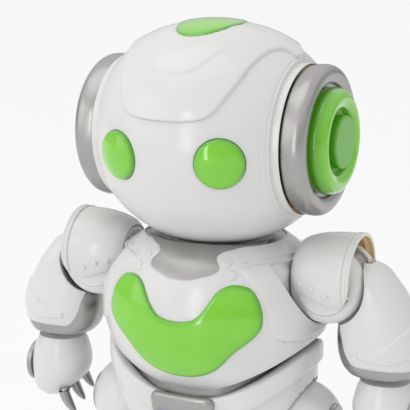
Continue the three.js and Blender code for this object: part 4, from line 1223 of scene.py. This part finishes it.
# %% [markdown]
# On the cover a chevron-shaped plate stands a little proud. Its two long lines meet in a blunt point
# near the elbow and run round the outside.

# %% The forearm covers
upper_ridge = [(66, 130.4), (68.5, 130.9), (73.6, 131.4), (79, 134.2), (84, 139), (93, 147)]
lower_ridge = [(66, 127.9), (68.5, 127.6), (71, 127.2), (79.5, 126.2), (85, 128), (93, 131)]


def chevron(x, z):
    """1 on the plate and 0 off it, by the distance to its upper line, its lower line and its point."""
    upper = np.interp(x, *np.transpose(upper_ridge)) - z
    lower = z - np.interp(x, *np.transpose(lower_ridge))
    point = (x - 67.4) * 1.2
    inside = np.minimum(np.minimum(upper * 0.8, lower), point)
    return roll(np.clip(inside, 0, 1), 0.9)


def forearm_cover():
    """Rows from the bottom border to the top; columns from the inner front border round the outside
    to the inner back border: angle = 90 + t * (90 - start)."""
    z = np.unique(np.concatenate([np.linspace(COVER_BOTTOM, 145, 66), np.linspace(145, COVER_TOP, 20)]))
    start = cover_start(z)[:, None]
    angle = np.pi / 2 + np.linspace(-1, 1, 181)[None, :] * (np.pi / 2 - start)
    flat = forearm(angle, z[:, None])
    raised = 0.7 * chevron(flat[..., 0], flat[..., 2]) * smoothstep(np.abs(flat[..., 1]), 0.5, 3)
    taper = 0.9 * (1 - smoothstep(z[:, None], COVER_BOTTOM, COVER_BOTTOM + 1.4)) ** 2
    return grid(forearm(angle, z[:, None], raised - taper * 0.5), (74, 0, 138))


make_pair("cover_forearm", [forearm_cover()], "forearm", [white_abs, painted_warm_glow_abs], "white_shell",
          ["forearm_shell"], wall=1.5, bevel=0.25)
print("cover from z", COVER_BOTTOM, "to", COVER_TOP, "mm")

# %% [markdown]
# The silver core is the same loft, 0.5 mm smaller, up to the drum, with a tongue that fills the drum's
# slot and the elbow pin through it.

# %% The forearm cores and elbow pins
def forearm_core():
    """The loft from the cuff to the drum, pressed flat against the drum's round side."""
    z = np.concatenate([[CUFF_Z], np.linspace(CUFF_Z, 163, 56)])
    angle = np.linspace(0, 2 * np.pi, 97)[None, :-1]
    shrink = -0.5 - 1.2 * (1 - smoothstep(z, CUFF_Z, CUFF_Z + 1.2)) ** 2 - 1.2 * smoothstep(z, 140, 150)
    points = forearm(angle, z[:, None], shrink[:, None])
    points[..., 0] = np.maximum(points[..., 0], drum_side(z, 0.8)[:, None])
    points[0] = points[0].mean(0)
    top = points[-1:].mean(1, keepdims=True).repeat(points.shape[1], 1)
    return grid(np.concatenate([points, top]), (76, 0, 135), close_columns=True)


tongue = turned_grid([(-5, 0), (-5, 15, 0.6), (5, 15, 0.6), (5, 0)], ELBOW, "y", 1.5)
neck_of_tongue = turned_grid([(-5, 0), (-5, 8), (5, 8), (5, 0)], ELBOW + [14, 0, -1], "y", 1.5)
pin_low, pin_high = box_mm("left_elbow_pin")
pin_radius = (pin_high - pin_low)[2] / 2
elbow_pin = turned_grid([(pin_low[1], 0), (pin_low[1], pin_radius, 0.4), (pin_high[1], pin_radius, 0.4),
                         (pin_high[1], 0)], ELBOW, "y")
make_pair("core_forearm", [forearm_core(), tongue, neck_of_tongue], "forearm", [silver_paint],
          "silver_paint", ["forearm_core"])
make_pair("pin_elbow", [elbow_pin], "arm", [pin_steel], "steel", ["elbow_pin"])
print("elbow pin radius", round(pin_radius, 1), "mm")

# %% [markdown]
# ## The hands
# The hand is a rounded white mitten with a silver disc on its outer side. A hollow in its lower inner
# corner holds three pointed silver fingers, moulded in one piece with the bar they hang from.

# %% The hands
HAND_POWER = 2.2
hand_sections = [(116, 75.6, 0, 10.2, 9.8), (111, 75.8, 0, 12.2, 11.6), (104, 76, 0, 13.5, 12.6),
                 (97, 77, 0, 12.1, 12.2), (91, 79.2, 0, 8.8, 9.8), (87.6, 80.4, 0, 4.9, 5.8)]
NOTCH, NOTCH_RADIUS = np.array([68.4, 0, 90.6]), 4.4
notch_way = unit(np.array([0, 1, 0.4]))


def hollowed(points):
    """Points nearer than 4.4 mm to the notch's line are pushed straight out to that distance."""
    out = points - NOTCH
    out = out - (out @ notch_way)[..., None] * notch_way
    far = np.linalg.norm(out, axis=-1, keepdims=True)
    push = np.maximum(NOTCH_RADIUS - far, 0)
    return points + out / np.maximum(far, 1e-6) * push


hand = lofted(hand_sections, HAND_POWER, 90, 120, (0.9, 0.8))
make_pair("shell_hand", [grid(hollowed(hand), (77, 0, 103), close_columns=True)], "hand", [white_abs],
          "white_shell", ["hand_shell"])
hand_disc = turned_grid([(87.4, 0), (87.4, 9.4), (89.5, 9.3, 0.5), (90.6, 7.6, 0.6), (90.7, 6.4, 0.3),
                         (90.3, 6.1, 0.2), (91.7, 4.8, 0.8), (91.75, 0)], WRIST * [1, 1, 0] + [0, 0, 101.5],
                        "x", 0.5)
make_pair("disc_hand", [hand_disc], "hand", [silver_paint], "silver_paint", ["hand_disc"])
print("hand from z", round(hand[..., 2].min(), 1), "to", round(hand[..., 2].max(), 1), "mm")

# %% [markdown]
# Each finger is a cone bent towards the palm: a centre line that leans in as it goes down, and a radius
# that shrinks slowly at first and fast at the tip.

# %% The fingers
FINGER_SLOPE = 0.4  # the front finger hangs lower than the back one


def finger(y):
    """Along s from 0 to 1: x = root - 6.6 s (0.35 + 0.55 s), z = root - 0.5 - 9.6 s, and the radius is
    2.5 * sqrt(1 - s^3)."""
    s = np.sin(np.linspace(0, np.pi / 2, 26))[:, None]
    angle = np.linspace(0, 2 * np.pi, 33)[None, :-1]
    radius = 2.5 * np.sqrt(np.maximum(0, 1 - s**3))
    centre = np.array([70.8, y, 95.4 + FINGER_SLOPE * y])
    lean = np.arctan2(6.6 * (0.35 + 1.1 * s), 8)
    x = centre[0] - 6.6 * s * (0.35 + 0.55 * s) + radius * np.sin(angle) * np.cos(lean)
    z = centre[2] - 0.5 - 9.6 * s - radius * np.sin(angle) * np.sin(lean) * 0.6
    return grid(np.stack([x, centre[1] + radius * np.cos(angle), z], -1), centre - [2, 0, 4],
                close_columns=True)


def finger_bar():
    """The bar between the roots: a round rod along the line of the roots, with round ends."""
    s = np.linspace(-1, 1, 25)[:, None]
    angle = np.linspace(0, 2 * np.pi, 25)[None, :-1]
    radius = 1.9 * (1 - np.abs(s) ** 8) ** 0.5
    y, z = 9.4 * s, 94.6 + FINGER_SLOPE * 9.4 * s
    points = np.broadcast_arrays(71 + radius * np.cos(angle), y, z + radius * np.sin(angle))
    return grid(np.stack(points, -1), (71, 0, 94.6), close_columns=True)


make_pair("fingers", [finger(y) for y in (-8.4, 0, 8.4)] + [finger_bar()], "hand", [silver_paint],
          "silver_paint", ["fingers"])
print("three fingers on each hand")

# %% [markdown]
# ## The hips
# Below the silver band the hips are another barrel. A raised skirt sweeps up to both sides like a pair
# of wings, and a silver plate like a belt buckle sits in front.

# %% The pelvis shell
PELVIS = {"a": 44.6, "b": 34.2, "middle": 108, "reach": 36, "low": 76.5}
RIM_DROP = 1.8


def skirt_edge(degrees):
    """Height of the skirt's top: the torso's edge less the open joint, 1.8 mm in front and twice that
    at the sides."""
    return chest_edge(degrees) - RIM_DROP * (1 + np.sin(np.radians(degrees)) ** 2)


def pelvis_share(z):
    """Size of the hips at a height, as a share: sqrt(1 - ((108 - z)/36)^2) below z = 108, and 1 above."""
    return np.sqrt(1 - (np.clip(PELVIS["middle"] - z, 0, 35) / PELVIS["reach"]) ** 2)


def pelvis(degrees, z):
    """A point of the hips, whose half sizes are 44.6 and 34.2 mm times the share."""
    share, angle = pelvis_share(z), np.radians(degrees)
    return np.stack(np.broadcast_arrays(PELVIS["a"] * share * bow(np.sin(angle), BODY_POWER),
                                        -PELVIS["b"] * share * bow(np.cos(angle), BODY_POWER), z), -1)


HIP_RADIUS = box_mm("left_thigh")[1][2] - HIP[2]


def pelvis_shell():
    """Rows from the top edge down. Near each hip the wall is pressed in behind the thigh's ball."""
    degrees = np.linspace(0, 360, 181)[:-1]
    share = np.linspace(0, 1, 45)[:, None]
    top = skirt_edge(degrees)[None, :] - 5.2
    z = top + (PELVIS["low"] - top) * share
    points = pelvis(degrees[None, :], z)
    away = np.hypot(points[..., 1] - HIP[1], points[..., 2] - HIP[2])
    ball = np.sqrt(np.maximum((HIP_RADIUS + 0.9) ** 2 - away**2, 0))
    limit = np.where(away < HIP_RADIUS + 0.9, HIP[0] - ball, 99)
    points[..., 0] = np.sign(points[..., 0]) * np.minimum(np.abs(points[..., 0]), limit)
    closing = points[-1:] * [0, 0, 1] + [0, 0, 0.2]
    return grid(np.concatenate([points, closing]), (0, 0, 96), close_columns=True)


make_piece("shell_pelvis", [pelvis_shell()], "pelvis", [white_abs, painted_warm_glow_abs], "white_shell",
           ["pelvis_shell"], wall=1.6, bevel=0.25)
print("hip ball radius", round(float(HIP_RADIUS), 1), "mm")

# %% [markdown]
# The skirt is a thick band with a rounded section, swept round the hips. It fades into the hips at the
# front, next to the belt plate.

# %% The waist skirt
def unit_rows(vectors):
    """Each vector of an array, made one long."""
    return vectors / np.linalg.norm(vectors, axis=-1, keepdims=True)


def waist_skirt():
    """Round the hips, a rounded section: out = 2.8 * (1 - |s|^5)^(1/3), up = 4.9 s, for s from -1 to 1.
    Towards the front the section fades to a third of that thickness."""
    degrees = np.linspace(0, 360, 289)[:-1][None, :]
    s = np.sin(np.linspace(-np.pi / 2, np.pi / 2, 33))[:, None]
    front = np.abs((degrees + 180) % 360 - 180)
    full = smoothstep(front, 14, 40)
    out = (0.9 + 1.9 * full) * (1 - np.abs(s) ** 5) ** (1 / 3)
    height = 4.4 + 0.5 * full
    z = skirt_edge(degrees) - 4.9 + height * s
    points = pelvis(degrees, np.full_like(z, 104)) * [1, 1, 0]
    away = unit_rows(points)
    points = points + away * (out[..., None] - 0.3)
    points[..., 2] = z
    inner = points[[0, -1]] - unit_rows(points[[0, -1]] * [1, 1, 0]) * 1.8
    points = np.concatenate([inner[:1], points, inner[1:]])
    return grid(points, (0, 0, 110), close_columns=True)


make_piece("skirt_waist", [waist_skirt()], "pelvis", [white_abs, painted_warm_glow_abs], "white_shell", ["waist_skirt"],
           wall=1.2)
print("skirt top at the side:", round(float(skirt_edge(90)), 1), "mm")

# %% [markdown]
# The belt plate is silver with a bevelled border and a blue-grey inset, and curves with the hips.

# %% The belt plate
def belt_front(x, z, grow=0):
    """The point of the hips' front behind (x, z)."""
    a, b = (PELVIS[half] * pelvis_share(z) + grow for half in ("a", "b"))
    y = -b * (1 - (np.abs(x) / a) ** BODY_POWER) ** (1 / BODY_POWER)
    return np.stack(np.broadcast_arrays(x, y, z), -1)


def plate(half, low, high, corner, base, rise, edge):
    """A rounded rectangle that narrows by a fifth downwards, with a quarter-round edge."""
    middle, tall = (low + high) / 2, (high - low) / 2
    across, up, inside = rounded_rectangle(half, tall, corner, 61, 61)
    across = across * (1 - 0.2 * (1 - up / tall) / 2)
    height = base + rise * roll(inside, edge)
    sink_border(height, base - 0.8)
    return grid(belt_front(across, middle + up, height), (0, 0, middle))


make_piece("plate_belt", [plate(14.4, 86.5, 109.6, 3.5, 1.4, 1.7, 1.5)], "pelvis", [silver_paint],
           "silver_paint", ["belt_plate"])
make_piece("inset_belt", [plate(10.8, 87, 103.6, 2.2, 2.7, 0.75, 0.6)], "pelvis", [belt_paint],
           "silver_paint")
print("belt plate and its inset made")

# %% [markdown]
# ## The legs
# A round hip turns on the axle and narrows to a short thigh. A silver disc caps it outside, and an oval
# silver cap covers the knee.

# %% Thighs, hip discs and knee caps
THIGH_X, THIGH_FLAT = 36.5, 53.4


def thigh():
    """A ball about the hip that runs into a cone below it. The ball is pressed flat outside."""
    z = np.concatenate([HIP[2] + HIP_RADIUS * np.sin(np.linspace(np.pi / 2, -0.45, 44)),
                        np.linspace(82.4, 64, 24)])
    drop = z - HIP[2]
    ball = np.sqrt(np.maximum(HIP_RADIUS**2 - drop**2, 0))
    cone = 16.6 - (84 - z) * 0.19
    share = smoothstep(-z, -86, -80)
    radius = np.where(z > 82.5, ball, cone) * (1 - share) + cone * share
    centre = HIP[0] + (THIGH_X - HIP[0]) * smoothstep(-z, -90, -76)
    angle = np.linspace(0, 2 * np.pi, 97)[None, :-1]
    points = np.stack(np.broadcast_arrays(centre[:, None] + radius[:, None] * np.sin(angle),
                                          -radius[:, None] * np.cos(angle), z[:, None]), -1)
    points[..., 0] = np.minimum(points[..., 0], THIGH_FLAT)
    closing = points[-1:].mean(1, keepdims=True).repeat(points.shape[1], 1)
    return grid(np.concatenate([points, closing]), (HIP[0], 0, 84), close_columns=True)


hip_disc = turned_grid([(53.2, 0), (53.2, 10), (55.2, 9.8, 0.7), (55.6, 7.6, 0.3), (55.1, 7.3, 0.3),
                        (55.2, 3.4, 0.3), (56.2, 2.9, 0.6), (56.3, 0)], HIP, "x", 0.5)
knee_low, knee_high = box_mm("left_knee_cap")


def knee_cap():
    """An ellipsoid with a fine groove near its front: its radii come from the node's box."""
    middle, size = (knee_low + knee_high) / 2, (knee_high - knee_low) / 2
    v = np.linspace(0, np.pi, 45)[:, None]
    u = np.linspace(0, 2 * np.pi, 73)[None, :-1]
    groove = 1 - 0.035 * np.exp(-(((v - 0.95) / 0.06) ** 2))
    ball = np.broadcast_arrays(np.sin(v) * np.sin(u), -np.cos(v), np.sin(v) * np.cos(u))
    points = np.stack(ball, -1)
    return grid(middle + size * points * groove[..., None], middle, close_columns=True)


make_pair("thigh_leg", [thigh()], "leg", [white_abs], "white_shell", ["thigh"])
make_pair("disc_hip", [hip_disc], "leg", [silver_paint], "silver_paint", ["hip_disc"])
make_pair("cap_knee", [knee_cap()], "leg", [silver_paint], "silver_paint", ["knee_cap"])
print("knee cap", np.round(knee_high - knee_low, 1), "mm")

# %% [markdown]
# The boots are lofted from the shin to the toe, with squarish rings again. Grooves mark the cuff, the
# ankle and the sole's border, and a silver strap crosses the toe.

# %% The boots
boot_sections = [(66, 36, 0, 13.5, 13.5), (60, 35.8, 0, 16, 16), (48, 35.3, 0, 19, 19.5),
                 (36, 34.8, -1.5, 21.5, 23), (26, 34.2, -4.5, 23.2, 30), (15, 34, -6, 24.5, 38),
                 (6.6, 34, -6, 24.5, 39.5)]
BOOT_POWER = 2.4


def boot():
    """The loft with three fine grooves by height, a raised band round the shin's top and a raised welt
    round the foot."""
    rows = through(boot_sections, 130)
    angle = np.linspace(0, 2 * np.pi, 145)[None, :-1]
    z = rows[:, :1]
    grow = (0.6 * smoothstep(z, 60.2, 60.8) - 0.45 * line_cut(z, 60, 0.35) - 0.4 * line_cut(z, 40, 0.4)
            - 0.4 * line_cut(z, 12.5, 0.4) + 0.5 * (1 - smoothstep(z, 12.2, 13.0)))
    points = np.stack([rows[:, 1:2] + (rows[:, 3:4] + grow) * bow(np.sin(angle), BOOT_POWER),
                       rows[:, 2:3] - (rows[:, 4:5] + grow) * bow(np.cos(angle), BOOT_POWER),
                       np.broadcast_to(z, (len(rows), angle.shape[1]))], -1)
    middle = points[:1].mean(1, keepdims=True)
    rim = middle + (points[:1] - middle) * 0.86
    return grid(np.concatenate([rim, points]), (34, -4, 30), close_columns=True)


def toe_strap():
    """A raised strap over the toe: a rounded rectangle wrapped on the boot's front."""
    across, up, inside = rounded_rectangle(10, 7, 3, 51, 41)
    z = 27 + up
    rows = through(boot_sections, 200)[::-1]
    a, b, y, x = (np.interp(z, rows[:, 0], rows[:, k]) for k in (3, 4, 2, 1))
    grow = 0.9 * roll(inside, 0.8)
    sink_border(grow, -0.6)
    depth = (b + grow) * (1 - (np.abs(across) / (a + grow)) ** BOOT_POWER) ** (1 / BOOT_POWER)
    return grid(np.stack([x + across, y - depth, z], -1), (34, 0, 24))


make_pair("shell_boot", [boot()], "leg", [white_abs, painted_warm_glow_abs], "white_shell", ["boot_shell"], wall=1.8,
          bevel=0.3)
make_pair("strap_boot", [toe_strap()], "leg", [silver_paint], "silver_paint")
print("boot length", 2 * boot_sections[-1][4], "mm")

# %% [markdown]
# Grey soles close the boots underneath. The wheels that let the robot roll turn in each heel, on a
# steel axle. They are black rubber with a ribbed tread and a stepped hub.

# %% Wheels and axle
def ribbed_tyre(x):
    """A wheel turned about X with 24 shallow teeth: each radius of the tread is multiplied by
    1 - 0.03 * (1 + cos 24 a) / 2."""
    half = 2.5
    corners = [(-half, 0), (-half, 2.2), (-half + 0.5, 2.6, 0.2), (-half + 0.5, 5, 0.2), (-half, 5.6, 0.2),
               (-half, 7.9, 0.5), (half, 7.9, 0.5), (half, 5.6, 0.2), (half - 0.5, 5, 0.2),
               (half - 0.5, 2.6, 0.2), (half, 2.2), (half, 0)]
    profile = rounded(corners, 0.6)
    angles = np.linspace(0, 360, 193)[:-1]
    points = turned(profile + [x, 0], WHEEL, "x", angles)
    tread = smoothstep(np.hypot(points[..., 1] - WHEEL[1], points[..., 2] - WHEEL[2]), 7.2, 7.8)
    teeth = 1 - 0.03 * tread * (1 + np.cos(24 * np.radians(angles)))[:, None] / 2
    points[..., 1:] = WHEEL[1:] + (points[..., 1:] - WHEEL[1:]) * teeth[..., None]
    return grid(points, (x, WHEEL[1], WHEEL[2]), close_rows=True)


axle = turned_grid([(-14, 0), (-14, 1.5, 0.3), (14, 1.5, 0.3), (14, 0)], WHEEL, "x")
axle["points"] = axle["points"] + [WHEEL[0], 0, 0]
make_pair("wheels", [ribbed_tyre(WHEEL[0] - 12), ribbed_tyre(WHEEL[0] + 12)], "wheels", [tyre_rubber],
          "rubber", ["wheel_set"])
make_pair("axle_wheels", [axle], "wheels", [pin_steel], "steel")
print("wheel radius", WHEEL[2], "mm")

# %% [markdown]
# ## What stays as it is
# The soles, the gearboxes, the boards and the other parts inside keep the mechanical model's own
# meshes, because little or nothing of them shows. They only need their finishes.

# %% Finish the mechanical parts that are kept
kept = {
    grey_plastic: ["left_foot_sole", "right_foot_sole", "power_switch", "neck_stem", "waist_post"],
    black_plastic: ["speaker", "battery_pack", "arm_gearbox", "leg_gearbox"],
    circuit_board: ["main_board", "eye_light_board"],
    pin_steel: ["hip_axle"],
}
for material, nodes in kept.items():
    for node in nodes:
        mesh = frame["nodes"][node].data
        mesh.materials.clear()
        mesh.materials.append(material)
still_shown = [n for n, o in frame["nodes"].items() if not o.hide_render]
print(len(still_shown), "mechanical parts still show:", sorted(still_shown))

# %% [markdown]
# ## Studio
# The robot stands on a pale floor that reaches far back, so it is also the background. White light
# comes from everywhere, brighter from above, with a large soft panel overhead, another at the left, and
# a tall strip in front that draws the highlights on the lenses and the silver rings.

# %% Floor and light
def floor_material():
    """Matt white floor: two whites mixed by a noise 40 mm across, too weak to read as a pattern."""
    material, tree, shader, place = new_material(
        "pale_floor", Roughness=0.9, Specular_IOR_Level=0.1, Emission_Strength=0.65)
    tint = blend(tree, noise(tree, place, 40, 2.0), "#929292", "#969696")
    tree.links.new(tint, shader.inputs["Base Color"])
    return material


FLOOR_HALF = 6.0
floor_mesh = bpy.data.meshes.new("floor")
floor_corners = [(x * FLOOR_HALF, y * FLOOR_HALF, -0.0002) for x, y in ((-1, -1), (1, -1), (1, 1), (-1, 1))]
floor_mesh.from_pydata(floor_corners, [], [(0, 1, 2, 3)])
floor = bpy.data.objects.new("floor", floor_mesh)
floor_mesh.materials.append(floor_material())
bpy.context.scene.collection.objects.link(floor)

world = bpy.data.worlds.new("studio")
world.use_nodes = True
sky = world.node_tree.nodes["Background"]
way = add_node(world.node_tree, "ShaderNodeTexCoord")
height = add_node(world.node_tree, "ShaderNodeSeparateXYZ", {"Vector": way.outputs["Generated"]})
climb = add_node(world.node_tree, "ShaderNodeMapRange", {
    "Value": height.outputs["Z"], "From Min": -0.05, "From Max": 0.75}, interpolation_type="SMOOTHSTEP")
glow = blend(world.node_tree, climb.outputs["Result"], "#B4B4B4", "#FFFFFF")
world.node_tree.links.new(glow, sky.inputs["Color"])
sky.inputs["Strength"].default_value = 0.98
bpy.context.scene.world = world


def panel_light(name, place, target, width, height, watts):
    """A rectangular soft light at a place, turned to a target."""
    lamp = bpy.data.lights.new(name, "AREA")
    lamp.shape, lamp.size, lamp.size_y, lamp.energy = "RECTANGLE", width, height, watts
    light = bpy.data.objects.new(name, lamp)
    light.location = place
    light.rotation_mode = "QUATERNION"
    light.rotation_quaternion = (Vector(target) - Vector(place)).to_track_quat("-Z", "Y")
    bpy.context.scene.collection.objects.link(light)


panel_light("top_panel", (-0.3, -0.2, 1.15), (0, 0, 0.18), 0.8, 0.8, 1.5)
panel_light("left_panel", (-0.75, -0.75, 0.5), (0, 0, 0.18), 0.7, 0.7, 1.5)
panel_light("front_strip", (-0.24, -1.3, 0.35), (0, 0, 0.2), 0.16, 1.0, 2.4)
bpy.context.scene.view_settings.view_transform = "Standard"

# %% [markdown]
# The camera stands to the robot's left and a little above it, 24 degrees round and 12.5 degrees up, and
# looks at the chest from 0.55 m with a long lens.

# %% Camera
AZIMUTH, ELEVATION, DISTANCE, LENS = np.radians(24.0), np.radians(12.5), 0.55, 115.0
back = Vector((np.sin(AZIMUTH) * np.cos(ELEVATION), -np.cos(AZIMUTH) * np.cos(ELEVATION), np.sin(ELEVATION)))
side = Vector((np.cos(AZIMUTH), np.sin(AZIMUTH), 0))
target = Vector((0, 0, 0.1818)) - side * 0.0046
camera = bpy.data.objects.new("camera", bpy.data.cameras.new("camera"))
camera.data.lens, camera.data.sensor_width = LENS, 36
camera.location = target + back * DISTANCE
camera.rotation_mode = "QUATERNION"
camera.rotation_quaternion = (-back).to_track_quat("-Z", "Y")
bpy.context.scene.collection.objects.link(camera)
bpy.context.scene.camera = camera
print("camera at", [round(v, 3) for v in camera.location])
